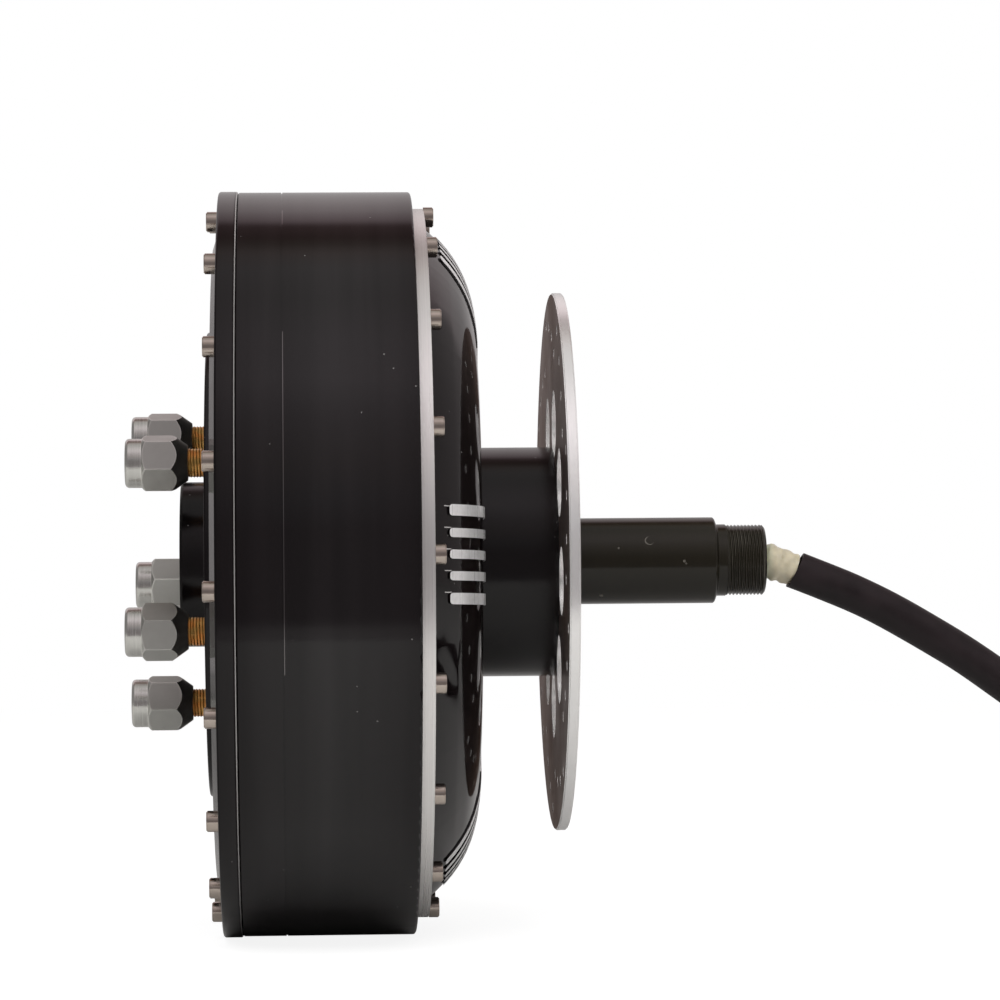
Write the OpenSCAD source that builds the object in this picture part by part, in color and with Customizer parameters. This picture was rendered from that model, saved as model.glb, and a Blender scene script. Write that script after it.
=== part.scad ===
// Outrunner hub motor for a small electric vehicle, with brake disc, threaded axle and supply cable.
// Units are mm. The motor axis is X, wheel studs point to -X, the clamped axle end points to +X, Z is up.
// The origin lies on the axis in the middle of the plain axle length that the vehicle's dropout clamps.
// Angles are counted from -Y, positive downwards, so 0 faces the front and 90 faces the ground.

/* [Rotor shell] */
// Outer diameter of the rotor, at the outer cover
shell_od = 316; // [300:1:330]
// Width of the rotor shell between the two covers
shell_w = 72.5; // [68:0.1:84]
// Wall thickness of the rotor shell, which holds the cover screws
shell_wall = 16.5; // [15:0.5:20]
// Edge rounding of the shell and of the outer cover
edge_r = 1.2; // [1:0.1:3]
// Width of the witness groove around the shell
groove_w = 0.6; // [0.4:0.1:1.2]

/* [Outer cover] */
// Thickness of the outer cover at its rim
cover_th = 8.2; // [7:0.1:11]
// Diameter of the raised wheel seat
seat_d = 197; // [180:1:204]
// Height of the wheel seat above the rim
seat_h = 5.4; // [3:0.2:7]
// Diameter of the wheel pilot
pilot_d = 70; // [66:1:76]
// Length of the wheel pilot beyond the wheel seat
pilot_len = 11.7; // [8:0.5:18]

/* [Inner cover] */
// Thickness of the bare rim of the inner cover
rim_th = 5.3; // [4:0.1:7]
// Step between the shell's outside and the bare rim
rim_step = 7.5; // [5:0.5:9]
// Height of the dome above the rim
dome_h = 22.4; // [20.6:0.1:26]
// Section radius of the dome's shoulder
dome_r = 53; // [52:0.2:55]
// Wall thickness of the dome
dome_wall = 5; // [4:0.5:7]
// Height of the cooling fins
fin_h = 0.8; // [0.6:0.1:3]
// Thickness of the middle fins
fin_t = 3.6; // [3:0.2:5]
// Distance between neighbouring fins
fin_pitch = 8.5; // [8:0.1:10]
// Diameter of the boss that carries the brake disc
boss_d = 97.6; // [94:0.2:104]
// Length of the boss
boss_len = 32.3; // [28:0.1:42]

/* [Brake disc] */
// Diameter of the brake disc
disc_d = 229; // [210:1:260]
// Thickness of the brake disc
disc_th = 4.5; // [4:0.1:7]
// Diameter of the nine large holes
disc_hole_d = 28.5; // [22:0.5:33]
// Radius on which the large holes lie
disc_hole_r = 61; // [60:0.5:68]
// Diameter of the drilled holes in the friction track
track_hole_d = 4.5; // [4:0.5:7]

/* [Axle] */
// Diameter of the clamped length of the axle
axle_d = 36.7; // [34:0.1:38]
// Clamped length of the axle
journal_len = 65; // [55:1:90]
// Diameter of the axle thread
thread_d = 30; // [27:1:32]
// Length of the axle thread
thread_len = 16.7; // [14:0.1:26]
// Length of the plain neck before the thread
neck_len = 4.6; // [3:0.2:6]
// Diameter of the cable bore in the axle
axle_bore = 16; // [12:0.5:17]

/* [Wheel fixing] */
// Diameter of the circle of the wheel studs
stud_pcd = 120; // [116:1:130]
// Thread diameter of the wheel studs
stud_d = 12; // [10:1:14]
// Length of stud that shows between seat and nut
stud_gap = 7.5; // [6:0.5:14]
// Size of the lug nuts across flats
nut_af = 21; // [19:1:23]
// Length of the lug nuts
nut_len = 26; // [24:1:32]

/* [Cover screws] */
// Distance of the cover screws' centres from the shell's outside
screw_inset = 10.8; // [10:0.1:12]
// Thread diameter of the cover screws
screw_d = 5; // [4:0.5:5]
// Head diameter of the cover screws
screw_head_d = 8.5; // [7.5:0.1:8.6]
// Head height of the outer cover's screws
screw_head_h = 4.9; // [3:0.1:5]
// Length of the cover screws under the head
screw_len = 20; // [18:1:24]

/* [Stator] */
// Air gap between the magnets and the stator stack
air_gap = 0.9; // [0.6:0.1:1.5]
// Length of the stator stack
core_len = 50; // [44:1:52]
// Thickness of the magnets
magnet_th = 3.5; // [3:0.1:3.6]
// Length of the coil ends beyond the stack
coil_end = 7; // [5:0.5:8]

/* [Cable] */
// Outer diameter of the cable sleeve
cable_d = 16.5; // [15:0.5:17.5]
// Diameter of one supply lead
lead_d = 5.6; // [5:0.1:5.6]

/* [Hidden] */
$fn = 96;

// Clearances
run_c = 0.05;
fit_c = 0.05;
hole_c = 0.25;

// Stations along the axis, from the clamped length towards the wheel
x_sh = journal_len / 2;
x_thread = x_sh + neck_len;
x_end = x_thread + thread_len;
x_disc_r = -journal_len / 2;
x_disc_l = x_disc_r - disc_th;
x_face = x_disc_l - boss_len;
x_rim_r = x_face - dome_h;
x_shell_r = x_rim_r - rim_th;
x_shell_l = x_shell_r - shell_w;
x_cov = x_shell_l - cover_th;
x_step = x_cov - 0.45 * seat_h;
x_seat = x_cov - seat_h;
x_pilot = x_seat - pilot_len;
x_mid = (x_shell_l + x_shell_r) / 2;
x_core0 = x_mid - core_len / 2;
x_core1 = x_mid + core_len / 2;

// Radii, from the shell's outside inwards
iron_th = 5.6;
tooth_len = 27.4;
yoke_th = 7;
shell_r = shell_od / 2;
cover_lip = 0.4;
barrel_r = shell_r - cover_lip;
bore_r = shell_r - shell_wall;
screw_r = shell_r - screw_inset;
rim_r = shell_r - rim_step;
boss_r = boss_d / 2;
axle_r = axle_d / 2;
thread_r = thread_d / 2;
neck_r = thread_r + 0.3;
iron_r1 = bore_r - fit_c;
iron_r0 = iron_r1 - iron_th;
mag_r1 = iron_r0 - fit_c;
mag_r0 = mag_r1 - magnet_th;
core_r = mag_r0 - air_gap;
yoke_r = core_r - tooth_len;
core_r0 = yoke_r - yoke_th;

// Distance of the witness groove from the shell's end at the outer cover
groove_in = 18.1;

// The dome's shoulder is an arc that starts beside the screw heads and ends at the knee
head_gap = 0.4;
knee_fall = 1.6;
x_knee = x_face - knee_fall;
x_dc = x_knee - dome_r;
foot_r = screw_r - screw_head_d / 2 - head_gap;
knee_r = foot_r - sqrt(dome_r * dome_r - (x_rim_r - x_dc) * (x_rim_r - x_dc));

// Stator and magnets: 36 teeth, 40 magnets
tooth_n = 36;
magnet_n = 40;
half_a = 180 / tooth_n;
tooth_w = 0.978 * core_r * sin(half_a);
coil_c = 0.15;
lead_r = core_r - 18.4;

// Bearings: the outer one is 30 x 62 x 16, the inner one is 40 x 80 x 18, and each has 9 balls
ob_r = 31;
ob_r0 = 15;
ob_w = 16;
ob_rm = (ob_r + ob_r0) / 2;
ob_ball = 4.75;
ib_r = 40;
ib_r0 = 20;
ib_w = 18;
ib_rm = (ib_r + ib_r0) / 2;
ib_ball = 6;
ball_n = 9;
ob_x0 = x_shell_l + 4;
ob_x1 = ob_x0 + ob_w;
ib_x1 = x_disc_l - 13;
ib_x0 = ib_x1 - ib_w;

// Oil seal, and the boss's spigot that centres the disc
seal_r = 31;
disc_pilot_r = 33;
seal_w = 8;
seal_x1 = x_disc_l - 0.5;
seal_x0 = seal_x1 - seal_w;

// Screws that hold the disc
disc_screw_d = 6;
disc_screw_r = 41;

// The drilled holes step inwards in fours from the first one's distance to the disc's edge
track_hole_n = 36;
track_hole_in = 8.5;
track_hole_step = 5;

// The two outer fins of each group are wider, on their outer sides
end_fin_w = 0.9;

// The hub that carries the stator lies between its circlip and the axle's collar
hub_r = 22;
key_w = 8;
collar_x0 = x_core1 + 14.5;
hub_x0 = x_core0 + 14;

screw_n = 18;
outer_screw_a = 4.4;
inner_screw_a = -1;
inner_head_h = 0.88 * screw_head_h;
stud_a = 27.7;
disc_a = 5.1;
disc_hole_a = 7.8;
track_hole_a = 15;
fin_a = -1.1;
socket_d = 4.6;

z_floor = -shell_r;

// A cylinder on the axis between two stations
module xcyl(r, x0, x1) {
  translate([x0, 0, 0]) rotate([0, 90, 0]) cylinder(r = r, h = x1 - x0);
}

// Revolves a section drawn as [radius, station] about the axis
module xrev() {
  rotate([0, 90, 0]) rotate_extrude() children();
}

// Places children, drawn at +Y, at an angle counted downwards from -Y
module at_angle(a) {
  rotate([180 + a, 0, 0]) children();
}

// A ring section between two radii and two stations
module ring2(r0, r1, x0, x1) {
  translate([r0, x0]) square([r1 - r0, x1 - x0]);
}

module rotor_shell() {
  color([0.05, 0.05, 0.05])
    difference() {
      xrev()
        difference() {
          union() {
            polygon([[bore_r, x_shell_l], [barrel_r - 0.6, x_shell_l], [barrel_r, x_shell_l + 0.6],
              [barrel_r, x_shell_r - edge_r], [barrel_r - edge_r, x_shell_r], [bore_r, x_shell_r]]);
            translate([barrel_r - edge_r, x_shell_r - edge_r]) circle(r = edge_r);
          }
          ring2(barrel_r - 0.4, barrel_r + 1, x_shell_l + groove_in, x_shell_l + groove_in + groove_w);
        }
      for (i = [0 : screw_n - 1]) {
        at_angle(outer_screw_a + i * 360 / screw_n)
          translate([x_shell_l - 1, screw_r, 0]) rotate([0, 90, 0])
            cylinder(r = screw_d / 2 + fit_c, h = screw_len + 2);
        at_angle(inner_screw_a + i * 360 / screw_n)
          translate([x_shell_r - screw_len - 1, screw_r, 0]) rotate([0, 90, 0])
            cylinder(r = screw_d / 2 + fit_c, h = screw_len + 2);
      }
    }
}

module back_iron_ring() {
  color([0.35, 0.35, 0.37])
    xrev() ring2(iron_r0, iron_r1, x_core0 - 4, x_core1 + 4);
}

module rotor_magnets() {
  color([0.55, 0.55, 0.58])
    for (i = [0 : magnet_n - 1])
      rotate([i * 360 / magnet_n, 0, 0])
        rotate([0, 90, 0]) rotate_extrude(angle = 304 / magnet_n) ring2(mag_r0, mag_r1, x_core0, x_core1);
}

module outer_cover() {
  band_r = shell_r - 24;
  color([0.04, 0.04, 0.04])
    difference() {
      xrev()
        union() {
          polygon([[0, x_pilot], [pilot_d / 2 - 1, x_pilot], [pilot_d / 2, x_pilot + 1],
            [pilot_d / 2, x_seat], [seat_d / 2 - 0.6, x_seat], [seat_d / 2, x_seat + 0.6],
            [seat_d / 2, x_step], [band_r, x_step], [band_r + 8, x_cov],
            [shell_r - edge_r, x_cov], [shell_r, x_cov + edge_r],
            [shell_r, x_shell_l - 0.5], [shell_r - 0.5, x_shell_l],
            [bore_r - fit_c, x_shell_l], [bore_r - fit_c, x_shell_l + 3],
            [bore_r - 6, x_shell_l + 3], [bore_r - 6, x_shell_l], [ob_r + 19, x_shell_l],
            [ob_r + 9, x_shell_l + 6], [ob_r + 9, ob_x1 + 1], [0, ob_x1 + 1]]);
          translate([shell_r - edge_r, x_cov + edge_r]) circle(r = edge_r);
        }
      xcyl(ob_r + fit_c / 2, ob_x0, ob_x1 + 2);
      xcyl(ob_r - 4, x_pilot + 6, ob_x0 + 1);
      for (i = [0 : screw_n - 1])
        at_angle(outer_screw_a + i * 360 / screw_n)
          translate([x_cov - 1, screw_r, 0]) rotate([0, 90, 0])
            cylinder(r = screw_d / 2 + hole_c, h = cover_th + 2);
      for (i = [0 : 4])
        at_angle(stud_a + i * 72)
          translate([x_seat - 1, stud_pcd / 2, 0]) rotate([0, 90, 0])
            cylinder(r = stud_d / 2 + 0.5, h = x_shell_l - x_seat + 8);
    }
}

// One cap screw along +X with its head's underside at x = 0 and its head, h high, towards -X
module cap_screw(len, h) {
  difference() {
    rotate([0, 90, 0]) rotate_extrude() union() {
      translate([0, -h]) square([screw_head_d / 2 - 0.4, h]);
      translate([0, -h + 0.4]) square([screw_head_d / 2, h - 0.4]);
      translate([0, -0.5]) square([screw_d / 2, len + 0.5]);
    }
    translate([-h - 1, 0, 0]) rotate([0, 90, 0]) cylinder(d = socket_d, h = 3.4, $fn = 6);
  }
}

module outer_cover_screws() {
  color([0.75, 0.74, 0.71])
    for (i = [0 : screw_n - 1])
      at_angle(outer_screw_a + i * 360 / screw_n)
        translate([x_cov, screw_r, 0]) cap_screw(screw_len, screw_head_h);
}

module inner_cover_screws() {
  color([0.75, 0.74, 0.71])
    for (i = [0 : screw_n - 1])
      at_angle(inner_screw_a + i * 360 / screw_n)
        translate([x_rim_r, screw_r, 0]) mirror([1, 0, 0]) cap_screw(screw_len, inner_head_h);
}

// Section of the inner cover without fins
module inner_cover_section() {
  difference() {
    union() {
      intersection() {
        translate([knee_r, x_dc]) circle(r = dome_r);
        ring2(knee_r, bore_r + 3, x_shell_r, x_face);
      }
      polygon([[boss_r - 4, x_knee - dome_wall], [knee_r, x_knee - dome_wall], [knee_r, x_knee],
        [boss_r, x_face], [boss_r - 4, x_face]]);
      ring2(bore_r - 3.5, rim_r, x_shell_r, x_rim_r);
      ring2(bore_r - 3.5, bore_r - fit_c, x_shell_r - 3, x_shell_r + 1);
      ring2(ib_r + 1, boss_r, ib_x0 - 6, x_disc_l);
      ring2(seal_r - 1, ib_r + 2, ib_x1, x_disc_l);
      ring2(seal_r - 1, disc_pilot_r, x_disc_l - 1, x_disc_l + 3);
    }
    intersection() {
      translate([knee_r, x_dc]) circle(r = dome_r - dome_wall);
      ring2(knee_r, bore_r - 3.5, x_shell_r - 20, x_knee);
    }
    ring2(0, ib_r + fit_c / 2, ib_x0 - 20, ib_x1);
    ring2(ib_r, ib_r + 1.6, ib_x0 - 2, ib_x0);
    ring2(0, ib_r - 6, ib_x1 - 1, ib_x1 + 4);
    ring2(0, seal_r + fit_c / 2, ib_x1, x_disc_r);
  }
}

// Fin j of a group of five, drawn at +Y, that is cut from the revolved fin band
module fin_slab(j) {
  x0 = x_rim_r + 6.1;
  corner = 1.2;
  w = abs(j) == 2 ? end_fin_w : 0;
  t = fin_t + w;
  translate([0, 52, j * fin_pitch + sign(j) * w / 2]) rotate([-90, 0, 0])
    linear_extrude(height = 90)
      union() {
        translate([x0 + corner, -t / 2]) square([x_face + 8 - x0, t]);
        translate([x0, -t / 2 + corner]) square([10, t - 2 * corner]);
        translate([x0 + corner, -t / 2 + corner]) circle(r = corner);
        translate([x0 + corner, t / 2 - corner]) circle(r = corner);
      }
}

module inner_cover() {
  color([0.03, 0.03, 0.03])
    difference() {
      union() {
        xrev() inner_cover_section();
        intersection() {
          xrev() union() {
            intersection() {
              difference() {
                translate([knee_r, x_dc]) circle(r = dome_r + fin_h);
                translate([knee_r, x_dc]) circle(r = dome_r - 2);
              }
              ring2(knee_r, bore_r + 3, x_rim_r + 2, x_face + 8);
            }
            ring2(boss_r + 9, knee_r + 0.5, x_knee - 2, x_knee + fin_h);
          }
          for (g = [0 : 4])
            for (j = [-2 : 2])
              at_angle(fin_a + g * 72) fin_slab(j);
        }
      }
      for (i = [0 : screw_n - 1])
        at_angle(inner_screw_a + i * 360 / screw_n)
          translate([x_shell_r - 1, screw_r, 0]) rotate([0, 90, 0])
            cylinder(r = screw_d / 2 + hole_c, h = rim_th + 2);
      for (i = [0 : 5])
        at_angle(disc_a + i * 60)
          translate([x_disc_l - 10, disc_screw_r, 0]) rotate([0, 90, 0])
            cylinder(r = disc_screw_d / 2 + fit_c, h = 12);
    }
}

module wheel_studs() {
  color([0.72, 0.52, 0.2])
    for (i = [0 : 4])
      at_angle(stud_a + i * 72)
        translate([0, stud_pcd / 2, 0]) {
          xcyl(stud_d / 2 + 0.5 - fit_c, x_seat, x_shell_l + 0.6);
          xcyl(stud_d / 2, x_seat - stud_gap + 0.3, x_seat + 0.5);
          xcyl(stud_d / 2 - 0.49, x_seat - stud_gap - nut_len + 8, x_seat);
          xcyl(stud_d / 2 + 1.6, x_shell_l + 0.5, x_shell_l + 2.4);
        }
}

// One lug nut along X with its cone end at x = 0 and its closed cap towards -X
module lug_nut() {
  hex_l = nut_len - 6.9;
  ac = nut_af / cos(30);
  difference() {
    union() {
      intersection() {
        translate([-hex_l, 0, 0]) rotate([0, 90, 0]) rotate([0, 0, 30]) cylinder(d = ac, h = hex_l, $fn = 6);
        rotate([0, 90, 0]) rotate_extrude()
          polygon([[0, 0], [7.3, 0], [ac / 2 + 0.8, -7.9], [ac / 2 + 0.8, -hex_l + 2.2],
            [nut_af / 2 - 0.3, -hex_l], [0, -hex_l]]);
      }
      rotate([0, 90, 0]) rotate_extrude() union() {
        translate([0, -nut_len]) square([8.4, 8]);
        translate([0, -nut_len + 1.8]) square([10.2, 6]);
        translate([8.4, -nut_len + 1.8]) circle(r = 1.8);
      }
    }
    translate([-nut_len + 6, 0, 0]) rotate([0, 90, 0]) cylinder(r = stud_d / 2 - 0.49 + fit_c, h = nut_len);
    translate([-0.9, 0, 0]) rotate([0, 90, 0])
      cylinder(r1 = stud_d / 2 - 0.49, r2 = stud_d / 2 + 0.6, h = 1.1);
  }
}

module lug_nuts() {
  turn = [9, 32, -4, 12, -2];
  color([0.78, 0.78, 0.77])
    for (i = [0 : 4])
      at_angle(stud_a + i * 72)
        translate([x_seat - stud_gap, stud_pcd / 2, 0]) rotate([turn[i], 0, 0]) lug_nut();
}

module brake_disc() {
  color([0.55, 0.53, 0.5])
    difference() {
      xrev() union() {
        ring2(disc_pilot_r + fit_c, disc_d / 2 - 0.5, x_disc_l, x_disc_r);
        ring2(boss_r + 11, disc_d / 2, x_disc_l + 0.5, x_disc_r - 0.5);
      }
      for (i = [0 : 8])
        at_angle(disc_hole_a + i * 40)
          translate([x_disc_l - 1, disc_hole_r, 0]) rotate([0, 90, 0])
            cylinder(d = disc_hole_d, h = disc_th + 2);
      for (i = [0 : track_hole_n - 1])
        at_angle(track_hole_a + i * 360 / track_hole_n)
          translate([x_disc_l - 1, disc_d / 2 - track_hole_in - track_hole_step * (i % 4), 0])
            rotate([0, 90, 0]) cylinder(d = track_hole_d, h = disc_th + 2);
      for (i = [0 : 5])
        at_angle(disc_a + i * 60)
          translate([x_disc_l - 1, disc_screw_r, 0]) rotate([0, 90, 0])
            cylinder(r = disc_screw_d / 2 + hole_c, h = disc_th + 2);
    }
}

module disc_screws() {
  color([0.7, 0.69, 0.66])
    for (i = [0 : 5])
      at_angle(disc_a + i * 60)
        difference() {
          translate([0, disc_screw_r, 0]) {
            xcyl(disc_screw_d / 2, x_disc_r - disc_th - 8, x_disc_r + 1);
            xcyl(disc_screw_d / 2 + 2, x_disc_r, x_disc_r + 3.2);
          }
          translate([x_disc_r + 1.4, disc_screw_r, 0]) rotate([0, 90, 0]) cylinder(d = 4.6, h = 3, $fn = 6);
        }
}

module axle_seal() {
  color([0.06, 0.06, 0.06])
    xrev() difference() {
      ring2(ib_r0 + run_c, seal_r, seal_x0, seal_x1);
      ring2(ib_r0 + 2.5, seal_r - 2.5, seal_x0 - 1, seal_x1 - 2.2);
    }
}

// The outer ring of a ball bearing
module outer_race(r, rm, rb, x0, w) {
  xrev() difference() {
    ring2(rm + rb * 0.45, r, x0, x0 + w);
    translate([rm, x0 + w / 2]) circle(r = rb + 0.12);
  }
}

// The inner ring of a ball bearing
module inner_race(r, rm, rb, x0, w) {
  xrev() difference() {
    ring2(r, rm - rb * 0.45, x0, x0 + w);
    translate([rm, x0 + w / 2]) circle(r = rb + 0.12);
  }
}

// Balls and the cage ring that keeps them apart
module ball_set(rm, rb, n, x0, w) {
  for (i = [0 : n - 1])
    rotate([i * 360 / n, 0, 0]) translate([x0 + w / 2, rm, 0]) sphere(r = rb);
  difference() {
    xrev() ring2(rm - rb * 0.22, rm + rb * 0.22, x0 + w / 2 - rb - 1.2, x0 + w / 2 + rb + 1.2);
    for (i = [0 : n - 1])
      rotate([i * 360 / n, 0, 0]) translate([x0 + w / 2, rm, 0]) sphere(r = rb + 0.15);
  }
}

module outer_bearing_outer_race() {
  color([0.7, 0.7, 0.72]) outer_race(ob_r, ob_rm, ob_ball, ob_x0, ob_w);
}

module outer_bearing_inner_race() {
  color([0.7, 0.7, 0.72]) inner_race(ob_r0, ob_rm, ob_ball, ob_x0, ob_w);
}

module outer_bearing_balls() {
  color([0.8, 0.8, 0.82]) ball_set(ob_rm, ob_ball, ball_n, ob_x0, ob_w);
}

module inner_bearing_outer_race() {
  color([0.7, 0.7, 0.72]) outer_race(ib_r, ib_rm, ib_ball, ib_x0, ib_w);
}

module inner_bearing_inner_race() {
  color([0.7, 0.7, 0.72]) inner_race(ib_r0, ib_rm, ib_ball, ib_x0, ib_w);
}

module inner_bearing_balls() {
  color([0.8, 0.8, 0.82]) ball_set(ib_rm, ib_ball, ball_n, ib_x0, ib_w);
}

module bearing_retaining_ring() {
  color([0.3, 0.3, 0.3])
    difference() {
      xrev() ring2(ib_r - 3.5, ib_r + 1.5, ib_x0 - 1.85, ib_x0 - 0.05);
      translate([ib_x0 - 4, ib_r - 10, -3]) cube([5, 20, 6]);
    }
}

module axle() {
  fall = axle_r - neck_r;
  color([0.16, 0.17, 0.13])
    difference() {
      union() {
        xrev() union() {
          polygon([[0, ob_x0 - 8], [ob_r0 - 1, ob_x0 - 8], [ob_r0 - fit_c, ob_x0 - 7],
            [ob_r0 - fit_c, ob_x1 + 0.5], [0, ob_x1 + 0.5]]);
          ring2(0, hub_r, ob_x1, collar_x0 + 1);
          ring2(0, hub_r + 4, collar_x0, ib_x0);
          ring2(0, ib_r0, ib_x0 - 1, x_disc_r + 0.2);
          polygon([[0, x_disc_r], [axle_r, x_disc_r], [axle_r, x_sh - 0.8], [axle_r - 0.2 * fall, x_sh - 0.2],
            [axle_r - 0.65 * fall, x_sh + 0.3], [neck_r, x_sh + 0.7], [neck_r, x_thread],
            [thread_r, x_thread], [thread_r, x_end - 1], [thread_r - 1, x_end], [0, x_end]]);
        }
      }
      xcyl(axle_bore / 2, collar_x0 + 2, x_end + 1);
      translate([collar_x0 + 7, 0, 0]) rotate([90, 0, 0]) cylinder(r = 4.9, h = 40);
      xrev() ring2(ob_r0 - 0.9, ob_r0 + 1, ob_x0 - 1.4, ob_x0);
      xrev() ring2(hub_r - 1.4, hub_r + 1, hub_x0 - 1.9, hub_x0);
      translate([hub_x0 + 6, hub_r - 4, -key_w / 2]) cube([collar_x0 - hub_x0 - 12, 6, key_w]);
    }
}

module axle_circlip() {
  color([0.3, 0.3, 0.3])
    difference() {
      xrev() ring2(ob_r0 - 0.8, ob_r0 + 3.2, ob_x0 - 1.3, ob_x0 - 0.1);
      translate([ob_x0 - 3, ob_r0 - 3, -2.5]) cube([5, 10, 5]);
    }
}

module carrier_circlip() {
  color([0.3, 0.3, 0.3])
    difference() {
      xrev() ring2(hub_r - 1.3, hub_r + 4, hub_x0 - 1.8, hub_x0 - 0.1);
      translate([hub_x0 - 4, hub_r - 4, -3]) cube([6, 12, 6]);
    }
}

module carrier_key() {
  color([0.5, 0.5, 0.52])
    translate([hub_x0 + 6.1, hub_r - 3.9, -key_w / 2 + fit_c])
      cube([collar_x0 - hub_x0 - 12.2, 7.2, key_w - 2 * fit_c]);
}

module stator_carrier() {
  color([0.62, 0.63, 0.65])
    difference() {
      xrev() union() {
        ring2(hub_r + fit_c, hub_r + 14, hub_x0, collar_x0 - 0.2);
        ring2(hub_r + 13, core_r0 - 7, x_mid - 5, x_mid + 5);
        ring2(core_r0 - 9, core_r0 - fit_c, x_core0 + 2, x_core1 - 2);
      }
      for (i = [0 : 5])
        at_angle(30 + i * 60)
          translate([x_mid - 8, (hub_r + core_r0 + 5) / 2, 0]) rotate([0, 90, 0]) cylinder(r = 16, h = 16);
      translate([hub_x0 - 1, hub_r - 4, -key_w / 2]) cube([collar_x0 - hub_x0 + 2, 7.5, key_w]);
    }
}

module stator_core() {
  s1 = (core_r - 5) * sin(half_a) - tooth_w / 2;
  s0 = yoke_r * sin(half_a) - tooth_w / 2;
  color([0.45, 0.46, 0.48])
    translate([x_core0, 0, 0]) rotate([0, 90, 0]) linear_extrude(height = core_len)
      difference() {
        circle(r = core_r);
        circle(r = core_r0);
        for (i = [0 : tooth_n - 1])
          rotate([0, 0, i * 2 * half_a])
            polygon([[core_r + 2, -1.5], [core_r - 3, -1.5], [core_r - 5, -s1], [yoke_r, -s0],
              [yoke_r, s0], [core_r - 5, s1], [core_r - 3, 1.5], [core_r + 2, 1.5]]);
      }
}

module stator_windings() {
  w1 = (yoke_r + 1) * tan(half_a) - 0.38;
  w0 = tooth_w / 2 + coil_c;
  h = tooth_len - 7.4;
  color([0.62, 0.3, 0.12])
    for (i = [0 : tooth_n - 1])
      rotate([(2 * i + 1) * half_a, 0, 0])
        difference() {
          translate([x_core0 - coil_end, yoke_r + 1, -w1]) cube([core_len + 2 * coil_end, h, 2 * w1]);
          translate([x_core0 - 0.4, yoke_r, -w0]) cube([core_len + 0.8, h + 2, 2 * w0]);
        }
}

module hall_sensor_board() {
  color([0.05, 0.25, 0.1])
    union() {
      translate([x_core1 + coil_end + 1, 0, 0]) rotate([70, 0, 0]) rotate([0, 90, 0])
        rotate_extrude(angle = 40) translate([core_r0 - 8, 0]) square([core_r - core_r0 + 1.6, 1.6]);
      for (i = [-1 : 1])
        rotate([i * 2 * half_a, 0, 0])
          translate([x_core1 + coil_end + 2.4, core_r - 15.4, -2]) cube([1.8, 4, 4]);
    }
}

module board_spacers() {
  color([0.8, 0.78, 0.7])
    for (a = [-12, 12])
      rotate([a, 0, 0])
        translate([x_core1 - 2, core_r0 - 4.8, 0]) rotate([0, 90, 0]) cylinder(r = 3, h = coil_end + 3);
}

// The supply leads in the axle bore, and their way out of the axle to the coil ends
module inner_leads() {
  color([0.1, 0.1, 0.1])
    union() {
      xcyl(6, collar_x0 + 7, x_end - 3.9);
      translate([collar_x0 + 7, 0, 0]) sphere(r = 4.6);
      translate([collar_x0 + 7, 0, 0]) rotate([90, 0, 0]) cylinder(r = 4.5, h = lead_r);
      translate([collar_x0 + 7, -lead_r, 0]) sphere(r = 4.5);
      translate([x_core1 + coil_end + 0.2, -lead_r, 0]) rotate([0, 90, 0])
        cylinder(r = 4.5, h = collar_x0 + 7 - x_core1 - coil_end - 0.2);
    }
}

// The cable: hand-chosen points as [distance past the axle end, y, drop below the axis]
cable_pts = [[13.8, 0, 4.6], [26, 0, 9.4], [38, 0, 14.4], [50, 0, 20.2], [62, 0, 26.8], [74, 0, 34],
  [87, 0, 42.2], [102, 0, 52.8], [120, 0, 66.2], [138, 0, 79.6], [156, 0, 92.4], [176, 0, 106],
  [200, 0, 120.4], [224, 0, 132.2], [243.6, -2.2, 139.6], [262.1, -8.8, 145.2], [274.5, -15.8, 148.15],
  [279.8, -20.25, 148.15]];
zk = (shell_r - 1.6 - cable_d / 2) / 148.15;
coil_cx = 224;
coil_cy = -87;
coil_a = 40;
pitch = cable_d + 0.3;
coil_r0 = 87;
coil_r1 = coil_r0 + pitch;
coil_z = z_floor + cable_d / 2 + 1.6;

function at_end(p) = [x_end + p[0], p[1], -p[2] * zk];
function unit(v) = v / norm(v);
function tangent(p, i) = unit(p[min(i + 1, len(p) - 1)] - p[max(i - 1, 0)]);
function side(t) = unit(cross([0, 0, 1], t));
function ring_pts(p, i, r, n) = let (t = tangent(p, i), s = side(t), u = cross(t, s))
  [for (k = [0 : n - 1]) p[i] + r * (cos(360 * k / n) * s + sin(360 * k / n) * u)];

// A closed tube of n sides through the points p
module tube(p, r, n) {
  m = len(p);
  polyhedron(
    points = [for (i = [0 : m - 1]) each ring_pts(p, i, r, n)],
    faces = concat(
      [[for (k = [0 : n - 1]) k]],
      [[for (k = [0 : n - 1]) (m - 1) * n + n - 1 - k]],
      [for (i = [0 : m - 2]) for (k = [0 : n - 1])
        [i * n + k, (i + 1) * n + k, (i + 1) * n + (k + 1) % n, i * n + (k + 1) % n]]));
}

// The sealing compound between the axle bore and the sleeve
module cable_seal() {
  l = norm([cable_pts[0][0], cable_pts[0][2] * zk]) - 0.5;
  color([0.85, 0.83, 0.72])
    union() {
      xcyl(axle_bore / 2 - fit_c, x_end - 1.9, x_end + 0.8);
      translate([x_end, 0, 0]) rotate([0, atan2(cable_pts[0][2] * zk, cable_pts[0][0]), 0]) xrev()
        polygon([[0, -2], [5.5, -2], [7.6, 0.8], [7.3, 3], [7.5, 5.5], [7, 8], [6.9, 10.5],
          [6.6, l], [0, l]]);
    }
}

module cable() {
  color([0.03, 0.03, 0.03]) tube([for (p = cable_pts) at_end(p)], cable_d / 2, 12);
}

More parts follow.
